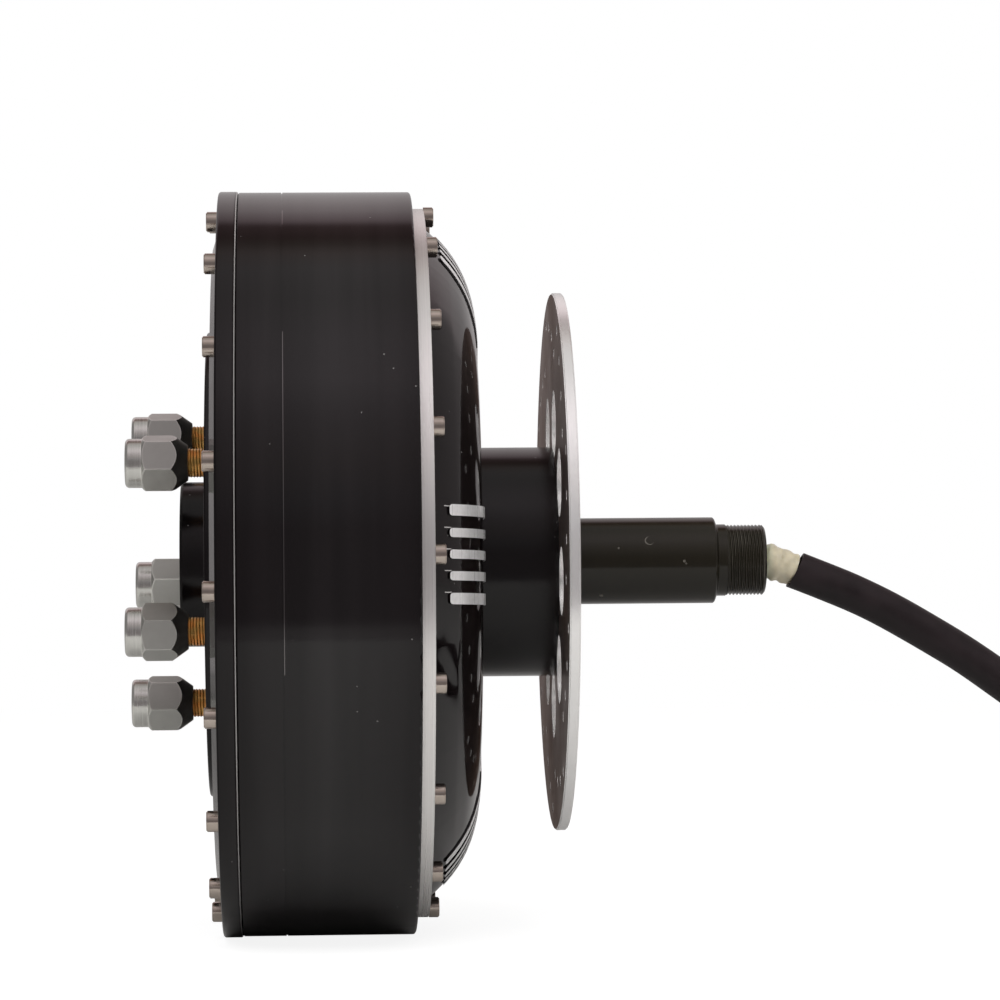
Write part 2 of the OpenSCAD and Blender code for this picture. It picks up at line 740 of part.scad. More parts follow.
module cable_coil() {
  color([0.03, 0.03, 0.03])
    translate([x_end + coil_cx, coil_cy, coil_z]) union() {
      rotate([0, 0, -90]) rotate_extrude(angle = 180 - coil_a) translate([coil_r0, 0]) circle(d = cable_d);
      translate([0, pitch / 2, 0]) rotate([0, 0, 90])
        rotate_extrude(angle = 180) translate([coil_r0 + pitch / 2, 0]) circle(d = cable_d);
      rotate([0, 0, -90]) rotate_extrude(angle = 180) translate([coil_r1, 0]) circle(d = cable_d);
    }
}

module coil_tie() {
  w = pitch + cable_d;
  color([0.08, 0.08, 0.08])
    translate([x_end + coil_cx + (coil_r0 + coil_r1) / 2, coil_cy, coil_z]) rotate([90, 0, 0])
      translate([0, 0, -2.5]) linear_extrude(height = 5)
        difference() {
          union() {
            translate([-w / 2 - 1.5, -cable_d / 2 - 1.5]) square([w + 3, cable_d + 3]);
            translate([w / 2 - 1, cable_d / 2 - 5]) square([6, 6]);
          }
          translate([-w / 2 - 0.4, -cable_d / 2 - 0.4]) square([w + 0.8, cable_d + 0.8]);
        }
}

module cable_tail() {
  color([0.03, 0.03, 0.03])
    tube([for (d = [0.1, 13, 26]) [x_end + coil_cx - d, coil_cy - coil_r1, coil_z]], cable_d / 2, 12);
}

// One lead: leaves the sleeve's end at (sy, sz) from its centre and comes to lie on the ground ey beside it
lead_x = coil_cx - 26.2;
function ease(t) = t * t * (3 - 2 * t);
function lead_pt(d, sy, sz, ey, u) = let (a = ease(min(1, u / 72)), b = ease(min(1, u / 52)))
  [x_end + lead_x - u, coil_cy - coil_r1 + sy + (ey - sy) * a,
   (coil_z + sz) * (1 - b) + (z_floor + d / 2 + 0.3) * b];

module lead(d, sy, sz, ey, l) {
  tube([for (u = [0, 8, 18, 28, 38, 48, 58, 72, l]) lead_pt(d, sy, sz, ey, u)], d / 2, 8);
}

module phase_lead_a() {
  color([0.75, 0.1, 0.08]) lead(lead_d, -3.1, 3.1, -24, 88);
}

module phase_lead_b() {
  color([0.1, 0.2, 0.6]) lead(lead_d, -3.1, -3.1, -6, 88);
}

module phase_lead_c() {
  color([0.1, 0.45, 0.15]) lead(lead_d, 3.1, 3.1, 12, 88);
}

module signal_lead() {
  color([0.05, 0.05, 0.05]) lead(lead_d - 0.6, 3.1, -3.1, 28, 80);
}

module lead_lugs() {
  y0 = coil_cy - coil_r1;
  zg = z_floor + lead_d / 2 + 0.3;
  xs = x_end + lead_x - 88.2;
  color([0.75, 0.72, 0.66])
    for (ey = [-24, -6, 12])
      translate([xs, y0 + ey, zg])
        difference() {
          union() {
            translate([-11, 0, 0]) rotate([0, 90, 0]) cylinder(r = lead_d / 2 - 0.2, h = 11);
            translate([-17, -4, -1]) cube([8, 8, 2]);
            translate([-20, 0, -1]) cylinder(r = 6.5, h = 2);
          }
          translate([-20, 0, -2]) cylinder(r = 3.2, h = 4);
        }
}

module signal_connector() {
  y0 = coil_cy - coil_r1;
  zg = z_floor + 5;
  xs = x_end + lead_x - 80.2;
  color([0.9, 0.9, 0.87])
    difference() {
      union() {
        translate([xs - 18, y0 + 28 - 7.5, zg - 4.5]) cube([17, 15, 9]);
        translate([xs - 3, y0 + 28 - 5, zg - 3.5]) cube([3, 10, 7]);
      }
      for (i = [-1 : 1])
        for (j = [0 : 1])
          translate([xs - 19, y0 + 28 + i * 4.4 - 1.3, zg - 3.4 + j * 4]) cube([8, 2.6, 2.6]);
    }
}

rotor_shell();
back_iron_ring();
rotor_magnets();
outer_cover();
outer_cover_screws();
inner_cover();
inner_cover_screws();
wheel_studs();
lug_nuts();
brake_disc();
disc_screws();
axle_seal();
outer_bearing_outer_race();
inner_bearing_outer_race();
bearing_retaining_ring();
outer_bearing_balls();
inner_bearing_balls();
outer_bearing_inner_race();
inner_bearing_inner_race();
axle();
axle_circlip();
carrier_circlip();
carrier_key();
stator_carrier();
stator_core();
stator_windings();
hall_sensor_board();
board_spacers();
inner_leads();
cable_seal();
cable();
cable_coil();
coil_tie();
cable_tail();
phase_lead_a();
phase_lead_b();
phase_lead_c();
signal_lead();
lead_lugs();
signal_connector();
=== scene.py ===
"""Dresses the hub motor: finishes for every part, cut threads, the supply cable and a small photo studio."""

from functools import partial, reduce
from math import cos, pi, radians, sin

import bpy
from bpy.props import FloatProperty, FloatVectorProperty, IntProperty, PointerProperty
from mathutils import Matrix, Vector, noise


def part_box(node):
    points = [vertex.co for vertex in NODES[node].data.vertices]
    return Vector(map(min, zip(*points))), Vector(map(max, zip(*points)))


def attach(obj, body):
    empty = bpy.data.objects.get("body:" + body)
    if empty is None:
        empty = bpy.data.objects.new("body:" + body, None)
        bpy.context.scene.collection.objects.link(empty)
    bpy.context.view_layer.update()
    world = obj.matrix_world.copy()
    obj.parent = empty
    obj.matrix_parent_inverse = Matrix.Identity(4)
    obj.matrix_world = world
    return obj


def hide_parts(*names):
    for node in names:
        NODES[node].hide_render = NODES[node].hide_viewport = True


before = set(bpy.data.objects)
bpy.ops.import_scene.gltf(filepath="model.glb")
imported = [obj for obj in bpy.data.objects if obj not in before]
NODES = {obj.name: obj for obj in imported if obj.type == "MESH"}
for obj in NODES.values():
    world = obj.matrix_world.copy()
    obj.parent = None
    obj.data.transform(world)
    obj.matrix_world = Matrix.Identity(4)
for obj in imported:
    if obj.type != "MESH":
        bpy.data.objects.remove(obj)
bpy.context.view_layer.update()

bl_info = {
    "name": "Hub motor dresser",
    "version": (1, 0, 0),
    "blender": (4, 5, 0),
    "location": "3D View > Sidebar > Hub motor",
    "description": "Finishes, threads, cable and studio for the hub motor",
    "category": "Object",
}

# Stations along the motor axis, read from the parts themselves, in metres
AXLE_START, AXLE_END = (corner.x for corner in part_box("axle"))
DISC_BACK, DISC_FACE = (corner.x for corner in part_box("brake_disc"))
SHELL_LEFT, SHELL_RIGHT = (corner.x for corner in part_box("rotor_shell"))
COVER_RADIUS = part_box("outer_cover")[1].z
SEAT_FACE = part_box("lug_nuts")[1].x + 0.0075
THREAD_START = AXLE_END - 0.0167
GROUND = -0.158
STUD_CIRCLE_RADIUS = 0.060
STUD_TURN = 27.7


def length(label, description, default, low=0.0, high=5.0):
    """A length setting in metres."""
    return FloatProperty(name=label, description=description, default=default, min=low, max=high,
                         unit="LENGTH", precision=5)


def colour(label, description, default):
    """A colour setting."""
    return FloatVectorProperty(name=label, description=description, default=default, size=3, min=0.0, max=1.0,
                               subtype="COLOR")


def share(label, description, default):
    """A setting from 0 to 1."""
    return FloatProperty(name=label, description=description, default=default, min=0.0, max=1.0, subtype="FACTOR")


def bearing(label, description, default):
    """An angle setting in radians."""
    return FloatProperty(name=label, description=description, default=default, subtype="ANGLE")


class ColourSettings(bpy.types.PropertyGroup):
    """Colours of the finishes."""
    black_coat: colour("Black coat", "Satin black of the shell and the outer cover", (0.0040, 0.0029, 0.0032))
    gloss_coat: colour("Gloss coat", "Gloss black of the inner cover's dome", (0.0035, 0.0024, 0.0026))
    bare_rim: colour("Bare rim", "Turned bare rim of the inner cover", (0.93, 0.91, 0.89))
    fin_top: colour("Fin tops", "Bare aluminium of the fin tops", (0.95, 0.93, 0.92))
    disc_steel: colour("Disc steel", "Dull steel of the brake disc's faces", (0.42, 0.345, 0.315))
    axle_black: colour("Axle black", "Blackened steel of the axle", (0.0088, 0.0072, 0.0038))
    worn_steel: colour("Worn steel", "Steel that shows where an edge is worn", (0.42, 0.39, 0.34))
    nickel: colour("Nickel", "Dull nickel plate of the lug nuts", (0.57, 0.57, 0.54))
    screw_plate: colour("Screw plate", "Bright plate of the cover screws", (0.56, 0.49, 0.43))
    yellow_zinc: colour("Yellow zinc", "Yellow passivated zinc of the wheel studs", (0.70, 0.33, 0.10))
    sleeve: colour("Sleeve", "Black rubber sleeve of the cable", (0.0100, 0.0066, 0.0074))
    sealant: colour("Sealant", "Cast sealing compound at the axle's end", (0.46, 0.41, 0.30))
    copper: colour("Copper", "Enamelled copper of the coils", (0.52, 0.20, 0.07))
    lamination: colour("Lamination steel", "Stacked sheets of the stator", (0.34, 0.35, 0.37))
    cast_grey: colour("Cast grey", "Machined aluminium of the stator carrier", (0.55, 0.56, 0.58))


class ThreadSettings(bpy.types.PropertyGroup):
    """Cut threads."""
    axle_pitch: length("Axle pitch", "Pitch of the axle's thread", 0.0015, 0.001, 0.003)
    axle_depth: length("Axle depth", "Depth of the axle's thread", 0.0006, 0.0004, 0.0015)
    stud_pitch: length("Stud pitch", "Pitch of the studs' thread", 0.00125, 0.001, 0.002)
    stud_depth: length("Stud depth", "Depth of the studs' thread", 0.0003, 0.0002, 0.001)
    turns_of: IntProperty(name="Steps round", description="Steps round one turn of a thread", default=96, min=24,
                          max=192)


class CableSettings(bpy.types.PropertyGroup):
    """The cable beyond the axle."""
    diameter: length("Sleeve diameter", "Outer diameter of the sleeve", 0.0165, 0.015, 0.0175)
    wall: length("Sleeve wall", "Wall of the sleeve at its cut end", 0.0013, 0.0008, 0.002)
    lead: length("Lead diameter", "Outer diameter of a phase lead", 0.0056, 0.005, 0.0056)
    lobes: share("Lobes", "How far the leads inside show through the sleeve", 0.22)


class EdgeSettings(bpy.types.PropertyGroup):
    """Broken edges."""
    cast: length("Cast parts", "Width of the broken edges on the shell and covers", 0.0003, 0.0001, 0.001)
    small: length("Small parts", "Width of the broken edges on screws and nuts", 0.00025, 0.0001, 0.001)


class StudioSettings(bpy.types.PropertyGroup):
    """Camera and light."""
    focal: FloatProperty(name="Focal length", description="Focal length on a 36 mm sensor, in millimetres",
                         default=144.41, min=20, max=400)
    yaw: bearing("Yaw", "How far the camera looks to the right", 0.0492)
    pitch: bearing("Pitch", "How far the camera looks up", 0.0198)
    roll: bearing("Roll", "How far the picture is turned to the left", 0.0086)
    place: FloatVectorProperty(name="Camera", description="Place of the camera", size=3,
                               default=(-0.1433, -1.7113, -0.0075), unit="LENGTH", precision=4)
    room: FloatProperty(name="Room light", description="Strength of the even light of the room", default=0.46,
                        min=0.0, max=2.0)
    lamp: FloatProperty(name="Lamps", description="Power of the overhead lamp, in watts", default=20.0, min=0.0,
                        max=100.0)


class HubMotorSettings(bpy.types.PropertyGroup):
    """All settings of the hub motor's looks."""
    colours: PointerProperty(type=ColourSettings)
    threads: PointerProperty(type=ThreadSettings)
    cable: PointerProperty(type=CableSettings)
    edges: PointerProperty(type=EdgeSettings)
    studio: PointerProperty(type=StudioSettings)


def settings():
    """The scene's settings."""
    return bpy.context.scene.hub_motor


class Nodes:
    """Short ways to add nodes to one node tree."""

    def __init__(self, tree):
        self.tree = tree

    def add(self, kind, **values):
        """A new node with its properties set."""
        made = self.tree.nodes.new("ShaderNode" + kind)
        for label, value in values.items():
            setattr(made, label, value)
        return made

    def set(self, socket, value):
        """Gives a socket a link or a plain value."""
        if isinstance(value, bpy.types.NodeSocket):
            self.tree.links.new(value, socket)
        else:
            socket.default_value = value

    def fed(self, kind, *inputs, **values):
        """The first output of a new node, with its inputs given in order; None leaves one as it is."""
        made = self.add(kind, **values)
        for socket, value in zip(made.inputs, inputs):
            if value is not None:
                self.set(socket, value)
        return made.outputs[0]

    def math(self, operation, *values):
        """A sum, product or other plain operation."""
        return self.fed("Math", *values, operation=operation)

    def above(self, value, limit):
        """1 where the value is over the limit."""
        return self.math("GREATER_THAN", value, limit)

    def below(self, value, limit):
        """1 where the value is under the limit."""
        return self.math("LESS_THAN", value, limit)

    def between(self, value, low, high):
        """1 where the value lies between two limits."""
        return self.every(self.above(value, low), self.below(value, high))

    def every(self, *values):
        """The product of all values."""
        return reduce(partial(self.math, "MULTIPLY"), values)

    def either(self, *values):
        """The largest of all values."""
        return reduce(partial(self.math, "MAXIMUM"), values)

    def hypot(self, first, second):
        """The length of a vector with two parts."""
        return self.math("SQRT", self.math("ADD", self.every(first, first), self.every(second, second)))

    def waves(self, value, step):
        """A sine wave with a given step."""
        return self.math("SINE", self.math("MULTIPLY", value, 2.0 * pi / step))

    def split(self, vector):
        """The X, Y and Z parts of a vector."""
        made = self.add("SeparateXYZ")
        self.set(made.inputs[0], vector)
        return tuple(made.outputs)

    def span(self, value, low, high, to_low, to_high, **values):
        """Maps one span of values to another."""
        return self.fed("MapRange", value, low, high, to_low, to_high, **values)

    def cloudy(self, value, to_low=0.0, to_high=1.0):
        """Spreads the middle part of a noise over a span."""
        return self.span(value, 0.3, 0.7, to_low, to_high)

    def mix(self, factor, first, second):
        """One colour over another."""
        made = self.add("Mix", data_type="RGBA")
        self.set(made.inputs[0], factor)
        for socket, value in ((made.inputs[6], first), (made.inputs[7], second)):
            self.set(socket, value if isinstance(value, bpy.types.NodeSocket) else tuple(value[:3]) + (1.0,))
        return made.outputs[2]

    def tone(self, value, base, low, high):
        """A colour that goes from darker to lighter with the value."""
        return self.mix(value, shade(base, low), shade(base, high))

    def blend(self, factor, first, second):
        """One number over another."""
        return self.fed("Mix", factor, None, first, second, data_type="FLOAT")


class Finish(Nodes):
    """One material in the making: its shader, and the details that it can have."""

    def __init__(self, name, base, metallic, roughness, **sockets):
        self.material = bpy.data.materials.new(name)
        self.material.use_nodes = True
        super().__init__(self.material.node_tree)
        self.shader = self.tree.nodes["Principled BSDF"]
        self.give("Base Color", tuple(base) + (1.0,))
        self.give("Metallic", metallic)
        self.give("Roughness", roughness)
        for label, value in sockets.items():
            self.give(label.replace("_", " ").title().replace("Ior", "IOR"), value)
        self.place = self.add("TexCoord").outputs["Object"]

    def give(self, label, value):
        """Sets or links one input of the shader."""
        self.set(self.shader.inputs[label], value)

    def rough(self, value, low, high):
        """Roughness between two limits, from a noise."""
        self.give("Roughness", self.cloudy(value, low, high))

    def noise(self, scale, detail=2.0, roughness=0.5, at=None):
        """A cloudy value from 0 to 1."""
        return self.fed("TexNoise", at or self.place, None, scale, detail, roughness)

    def turned(self, along, around, detail=3.0, roughness=0.6):
        """Marks that run round the axis: fine along it, slow across."""
        stretched = self.fed("Mapping", self.place, None, None, (along, around, around))
        return self.noise(1.0, detail, roughness, at=stretched)

    def specks(self, scale, size, strength):
        """The given strength on small round specks, 0 elsewhere."""
        away = self.fed("TexVoronoi", self.place, None, scale)
        return self.math("MULTIPLY", self.span(away, size, size * 0.6, 0.0, 1.0), strength)

    def axial(self):
        """Distance along the motor's axis, and distance from it."""
        x, y, z = self.split(self.place)
        return x, self.hypot(y, z)

    def facing(self):
        """How far a face looks along the motor's axis, from -1 to 1."""
        return self.split(self.add("NewGeometry").outputs["Normal"])[0]

    def edges(self, radius, starts=0.985, full=0.80):
        """1 on edges, 0 on flats, from how far a rounded normal leans away from the true one."""
        lean = self.add("VectorMath", operation="DOT_PRODUCT")
        self.set(lean.inputs[0], self.fed("Bevel", radius, samples=4))
        self.set(lean.inputs[1], self.add("NewGeometry").outputs["Normal"])
        return self.span(lean.outputs["Value"], starts, full, 0.0, 1.0)

    def spot(self, centre, radius):
        """1 inside a small ball round a point."""
        away = self.add("VectorMath", operation="DISTANCE")
        self.set(away.inputs[0], self.place)
        away.inputs[1].default_value = centre
        return self.below(away.outputs["Value"], radius)

    def bump(self, height, depth, strength=1.0):
        """Fine relief, with its depth in metres, on top of any relief before it."""
        made = self.add("Bump")
        made.inputs["Strength"].default_value = strength
        made.inputs["Distance"].default_value = depth
        self.set(made.inputs["Height"], height)
        normal = self.shader.inputs["Normal"]
        if normal.is_linked:
            self.set(made.inputs["Normal"], normal.links[0].from_socket)
        self.set(normal, made.outputs[0])


def shade(base, factor):
    """The same colour, lighter or darker."""
    return tuple(min(1.0, channel * factor) for channel in base[:3])


DUST = (0.30, 0.29, 0.28)


def black_coat():
    """Satin black over turned metal, with a light metallic line along the seam, a witness line and a few dust specks,
    a painted sheen in a band round the drum, and painted shade on faces that look along -X and in the seam's gap.
    """
    base = settings().colours.black_coat
    coat = Finish("satin_black_coat", base, 0.0, 0.12)
    x, r = coat.axial()
    z = coat.split(coat.place)[2]
    broad = coat.turned(110.0, 4.0, 2.0, 0.5)
    brightest, pilot_x, groove_x = SHELL_LEFT + 0.037, SHELL_LEFT - 0.0130, SHELL_LEFT + 0.01865
    off = coat.math("ABSOLUTE", coat.math("SUBTRACT", x, brightest))
    seam_gap_shade = coat.between(x, SHELL_LEFT - 0.00110, SHELL_LEFT - 0.00060)
    # Painted sheen and shade: the coat reflects most in a band round the drum near the brightest station and less
    # away from it, less on faces that look along -X, and less in the seam's gap.
    coat.give("Specular IOR Level", coat.every(
        coat.span(off, 0.004, 0.036, 0.52, 0.30), coat.cloudy(broad, 0.92, 1.08),
        coat.math("MULTIPLY_ADD", coat.below(coat.facing(), -0.35), -0.6, 1.0),
        coat.math("MULTIPLY_ADD", seam_gap_shade, -0.7, 1.0)))
    # A light grey, partly metallic line along the cover's outer edge at the seam.
    seam = coat.every(coat.between(x, SHELL_LEFT - 0.00050, SHELL_LEFT - 0.00002),
                      coat.above(r, COVER_RADIUS - 0.00052))
    high = coat.math("ADD", coat.between(z, -0.044, 0.091), coat.between(z, 0.138, 0.145))
    witness = coat.every(coat.between(x, groove_x, groove_x + 0.0003), high)
    tint = coat.tone(coat.span(broad, 0.35, 0.7, 0.0, 1.0), base, 0.8, 1.25)
    tint = coat.mix(coat.specks(95.0, 0.040, 0.35), tint, DUST)
    tint = coat.mix(witness, tint, (0.20, 0.19, 0.19))
    coat.give("Base Color", coat.mix(seam, tint, (0.42, 0.41, 0.40)))
    coat.give("Metallic", coat.either(witness, coat.math("MULTIPLY", seam, 0.6)))
    coat.bump(coat.turned(1500.0, 2.0), 0.0000010)
    rough = coat.math("ADD", coat.cloudy(coat.noise(22.0, 3.0), 0.06, 0.10), coat.cloudy(broad, 0.0, 0.02))
    rough = coat.math("MULTIPLY_ADD", coat.below(x, pilot_x), 0.14, rough)
    rough = coat.math("ADD", rough, coat.specks(95.0, 0.040, 0.4))
    coat.give("Roughness", coat.either(rough, coat.math("MULTIPLY", seam, 0.3)))
    return coat.material


def inner_cover_finish():
    """Gloss black dome, satin boss, bare turned rim and bare fin tops on one casting."""
    colours = settings().colours
    coat = Finish("inner_cover_finish", colours.gloss_coat, 0.0, 0.08)
    x, r = coat.axial()
    y, z = coat.split(coat.place)[1:]
    knee_r, knee_x, dome_r, boss_r, rim_r = 0.10045, DISC_BACK - 0.0339, 0.0530, 0.0488, 0.1425
    rim = coat.every(coat.above(r, rim_r), coat.between(x, SHELL_RIGHT - 0.001, SHELL_RIGHT + 0.00533))
    from_knee = coat.hypot(coat.math("SUBTRACT", r, knee_r), coat.math("SUBTRACT", x, knee_x - dome_r))
    over_dome = coat.every(coat.above(from_knee, dome_r + 0.00062), coat.between(r, knee_r, rim_r - 0.0001))
    slope = 0.0016 / (knee_r - boss_r)
    web = coat.math("MULTIPLY_ADD", r, -slope, knee_x + slope * knee_r + 0.00012)
    over_web = coat.every(coat.above(x, web), coat.between(r, 0.0600, knee_r + 0.0001))
    fins = coat.either(over_dome, over_web)
    boss = coat.below(r, boss_r + 0.0010)
    fin_x, fin_step, turn = SHELL_RIGHT + 0.0114, 0.0085, radians(1.1)
    up = coat.math("MULTIPLY_ADD", y, sin(turn), coat.math("MULTIPLY", z, cos(turn)))
    row = coat.math("FLOORED_MODULO", coat.math("SUBTRACT", up, 0.0018 - fin_step * 4), fin_step)
    # Thin bright strips at the left ends of the fins in the group that faces -Y, drawn on that group only.
    fin_end_tick = coat.every(coat.below(row, 0.00042), coat.between(up, -0.018, 0.021),
                      coat.between(x, fin_x - 0.0022, fin_x + 0.0006), coat.below(y, -0.11))
    bare = coat.either(rim, fins, coat.math("MULTIPLY", fin_end_tick, 0.7))
    turned, smear = coat.turned(1700.0, 4.0), coat.noise(60.0, 3.0)
    metal = coat.mix(fins, coat.tone(turned, colours.bare_rim, 0.80, 1.07),
                     coat.tone(coat.noise(520.0, 4.0, 0.6), colours.fin_top, 0.80, 1.12))
    coat.give("Base Color", coat.mix(bare, coat.mix(coat.specks(110.0, 0.05, 0.30), colours.gloss_coat, DUST), metal))
    coat.give("Metallic", coat.every(bare, coat.blend(fins, 0.87, 0.6)))
    painted = coat.blend(boss, coat.span(smear, 0.3, 0.75, 0.05, 0.10), coat.cloudy(smear, 0.13, 0.20))
    coat.give("Roughness", coat.blend(bare, painted, coat.span(turned, 0.2, 0.8, 0.24, 0.36)))
    coat.give("Specular IOR Level", coat.blend(boss, 0.5, 0.34))
    coat.bump(coat.every(turned, coat.either(bare, boss)), 0.000004)
    return coat.material


def disc_finish():
    """Dull steel with brown stains and fine arcs round the axis, bright on its edge and in its holes."""
    base = settings().colours.disc_steel
    edge_r, stain, bright = 0.1139, (0.23, 0.140, 0.100), (0.93, 0.92, 0.91)
    steel = Finish("ground_disc_steel", base, 0.8, 0.4)
    r = steel.axial()[1]
    rings = steel.fed("TexNoise", None, r, 1500.0, 3.0, noise_dimensions="1D")
    cloud = steel.noise(38.0, 3.0, 0.55)
    stained = steel.span(steel.noise(14.0, 4.0, 0.6), 0.45, 0.7, 0.0, 0.8)
    wall = steel.below(steel.math("ABSOLUTE", steel.facing()), 0.6)
    bare = steel.either(steel.above(r, edge_r), wall)
    steel.give("Base Color", steel.mix(bare, steel.mix(stained, steel.tone(cloud, base, 0.75, 1.2), stain), bright))
    steel.give("Specular Tint", steel.mix(bare, (0.34, 0.28, 0.26), (1.0, 1.0, 1.0)))
    steel.give("Roughness", steel.blend(bare, steel.cloudy(cloud, 0.28, 0.44), 0.22))
    steel.bump(rings, 0.000003)
    return steel.material


def axle_finish():
    """Blackened steel with an olive cast, lighter on the thread's crests and on edges, with a few small marks."""
    colours = settings().colours
    steel = Finish("blackened_axle", colours.axle_black, 0.0, 0.15, specular_ior_level=0.36)
    x, r = steel.axial()
    lines, cloud = steel.turned(900.0, 3.0), steel.noise(75.0, 4.0, 0.6)
    crest = steel.every(steel.between(x, THREAD_START, AXLE_END - 0.0008), steel.above(r, 0.01485),
                        steel.span(cloud, 0.46, 0.66, 0.0, 0.14))
    ring = steel.math("SUBTRACT", steel.spot((0.0034, -0.0163, 0.0084), 0.0020),
                      steel.spot((0.0037, -0.0163, 0.0086), 0.0018))
    chips = (steel.spot((0.0180, -0.01835, -0.0004), 0.0006), steel.spot((0.0188, -0.01835, -0.0014), 0.0004),
             steel.spot((-0.0169, -0.0110, -0.0147), 0.0008))
    marks = steel.either(steel.specks(60.0, 0.030, 1.0), ring, *chips)
    brightened = steel.either(crest, steel.math("MULTIPLY", marks, 0.22), steel.math("MULTIPLY", steel.edges(0.0004), 0.2))
    tone = steel.tone(steel.cloudy(lines), colours.axle_black, 0.85, 1.15)
    steel.give("Base Color", steel.mix(brightened, tone, colours.worn_steel))
    steel.give("Metallic", brightened)
    steel.rough(cloud, 0.12, 0.20)
    steel.bump(lines, 0.0000015)
    return steel.material


def plated_screws():
    """Bright plate, slightly brown, with a soft cloud and small pits."""
    base = settings().colours.screw_plate
    plate = Finish("plated_screws", base, 1.0, 0.14)
    cloud = plate.noise(160.0, 3.0, 0.55)
    pits = plate.specks(260.0, 0.06, 0.5)
    plate.give("Base Color", plate.mix(pits, plate.tone(cloud, base, 0.80, 1.12), shade(base, 0.35)))
    plate.rough(cloud, 0.10, 0.18)
    plate.bump(plate.noise(900.0, 3.0, 0.6), 0.000002)
    return plate.material


def nickel_nuts():
    """Dull nickel on the hexagons with thin edges drawn lighter, partly wear and partly painted highlight, and
    turned, brighter closed caps.
    """
    base = settings().colours.nickel
    plate = Finish("nickel_nuts", base, 1.0, 0.38)
    cloud, streaks = plate.noise(160.0, 3.0, 0.55), plate.turned(2200.0, 40.0)
    cap = plate.below(plate.axial()[0], SEAT_FACE - 0.0266)
    # Painted highlight, partly wear: the hexagons' edges are lighter and smoother than the flats.
    brightened = plate.edges(0.0009, 0.996, 0.93)
    tone = plate.mix(cap, plate.tone(cloud, base, 0.86, 1.10), plate.tone(streaks, base, 0.85, 1.60))
    tone = plate.mix(plate.specks(260.0, 0.06, 0.4), tone, shade(base, 0.4))
    plate.give("Base Color", plate.mix(brightened, tone, shade(base, 1.65)))
    rough = plate.blend(cap, plate.cloudy(cloud, 0.34, 0.44), plate.cloudy(streaks, 0.18, 0.28))
    plate.give("Roughness", plate.blend(brightened, rough, 0.2))
    plate.bump(plate.noise(900.0, 3.0, 0.6), 0.000003)
    return plate.material


def zinc_finish():
    """Yellow passivated zinc: gold with a faint drift to green and red."""
    base = settings().colours.yellow_zinc
    plate = Finish("yellow_zinc", base, 0.85, 0.32)
    red, green = ((base[0] * a, base[1] * b, base[2] * c) for a, b, c in ((1.05, 0.86, 0.7), (0.9, 1.12, 1.1)))
    plate.give("Base Color", plate.mix(plate.span(plate.noise(240.0, 2.0), 0.35, 0.65, 0.0, 1.0), red, green))
    plate.rough(plate.noise(500.0, 3.0), 0.26, 0.40)
    return plate.material


def rubber_finish(name, base, low, high):
    """Matt rubber or plastic insulation with a fine skin and faint long creases."""
    rubber = Finish(name, base, 0.0, 0.5, specular_ior_level=0.25)
    creases = rubber.noise(90.0, 4.0, 0.6)
    rubber.give("Base Color", rubber.tone(rubber.cloudy(creases), base, 0.8, 1.45))
    rubber.rough(creases, low, high)
    rubber.bump(rubber.noise(1400.0, 3.0, 0.6), 0.00003)
    rubber.bump(creases, 0.0002, 0.6)
    return rubber.material


def sealant_finish():
    """Cast compound: off-white, slightly clear, greener against the thread."""
    base = settings().colours.sealant
    wax = Finish("cast_sealant", base, 0.0, 0.34, subsurface_weight=0.35, subsurface_scale=0.003,
                 subsurface_radius=(1.0, 0.8, 0.5))
    near = wax.span(wax.axial()[0], AXLE_END + 0.004, AXLE_END - 0.0005, 0.0, 0.6)
    lumps = wax.noise(260.0, 3.0, 0.55)
    wax.give("Base Color", wax.mix(near, wax.tone(wax.cloudy(lumps), base, 0.86, 1.08), (0.36, 0.43, 0.31)))
    wax.rough(lumps, 0.26, 0.46)
    wax.bump(lumps, 0.0004, 0.5)
    return wax.material


def plain_metal(name, base, roughness):
    """Machined or pressed steel, or aluminium, with a soft cloud and fine relief."""
    metal = Finish(name, base, 1.0, roughness)
    cloud = metal.noise(120.0, 4.0, 0.6)
    metal.give("Base Color", metal.tone(cloud, base, 0.75, 1.15))
    metal.rough(cloud, roughness - 0.06, roughness + 0.1)
    metal.bump(metal.noise(960.0, 3.0), 0.000006)
    return metal.material


def lamination_finish():
    """The stack's edge: one dark line for each sheet."""
    base = settings().colours.lamination
    stack = Finish("lamination_stack", base, 0.9, 0.42)
    sheets = stack.waves(stack.axial()[0], 0.0005)
    stack.give("Base Color", stack.tone(stack.span(sheets, 0.2, 0.9, 0.0, 1.0), base, 0.55, 1.0))
    stack.rough(stack.noise(140.0, 3.0), 0.36, 0.5)
    stack.bump(sheets, 0.00002)
    return stack.material


def winding_finish():
    """Enamelled wire, laid side by side round each tooth."""
    base = settings().colours.copper
    wire = Finish("enamelled_copper", base, 0.75, 0.3, coat_weight=0.4, coat_roughness=0.15)
    rows = wire.waves(wire.axial()[1], 0.001)
    wire.give("Base Color", wire.tone(wire.span(rows, -0.8, 0.8, 0.0, 1.0), base, 0.5, 1.15))
    wire.rough(wire.noise(200.0, 2.0), 0.24, 0.38)
    wire.bump(rows, 0.0002)
    return wire.material


def moulded(name, base, roughness):
    """Moulded plastic or board with a fine grain."""
    plastic = Finish(name, base, 0.0, roughness, specular_ior_level=0.5)
    grain = plastic.noise(700.0, 3.0)
    plastic.give("Base Color", plastic.tone(plastic.noise(60.0, 3.0), base, 0.85, 1.12))
    plastic.rough(grain, roughness - 0.06, roughness + 0.08)
    plastic.bump(grain, 0.00001)
    return plastic.material


def wear(piece, material):
    """Puts one material on a piece."""
    piece.data.materials.clear()
    piece.data.materials.append(material)


def finish_nodes(names, material):
    """Puts one material on parts of the motor."""
    for name in names.split():
        wear(NODES[name], material)


def dress_nodes(names, material, width):
    """Puts one material on parts of the motor and breaks their edges."""
    finish_nodes(names, material)
    for name in names.split():
        break_edges(NODES[name], width)


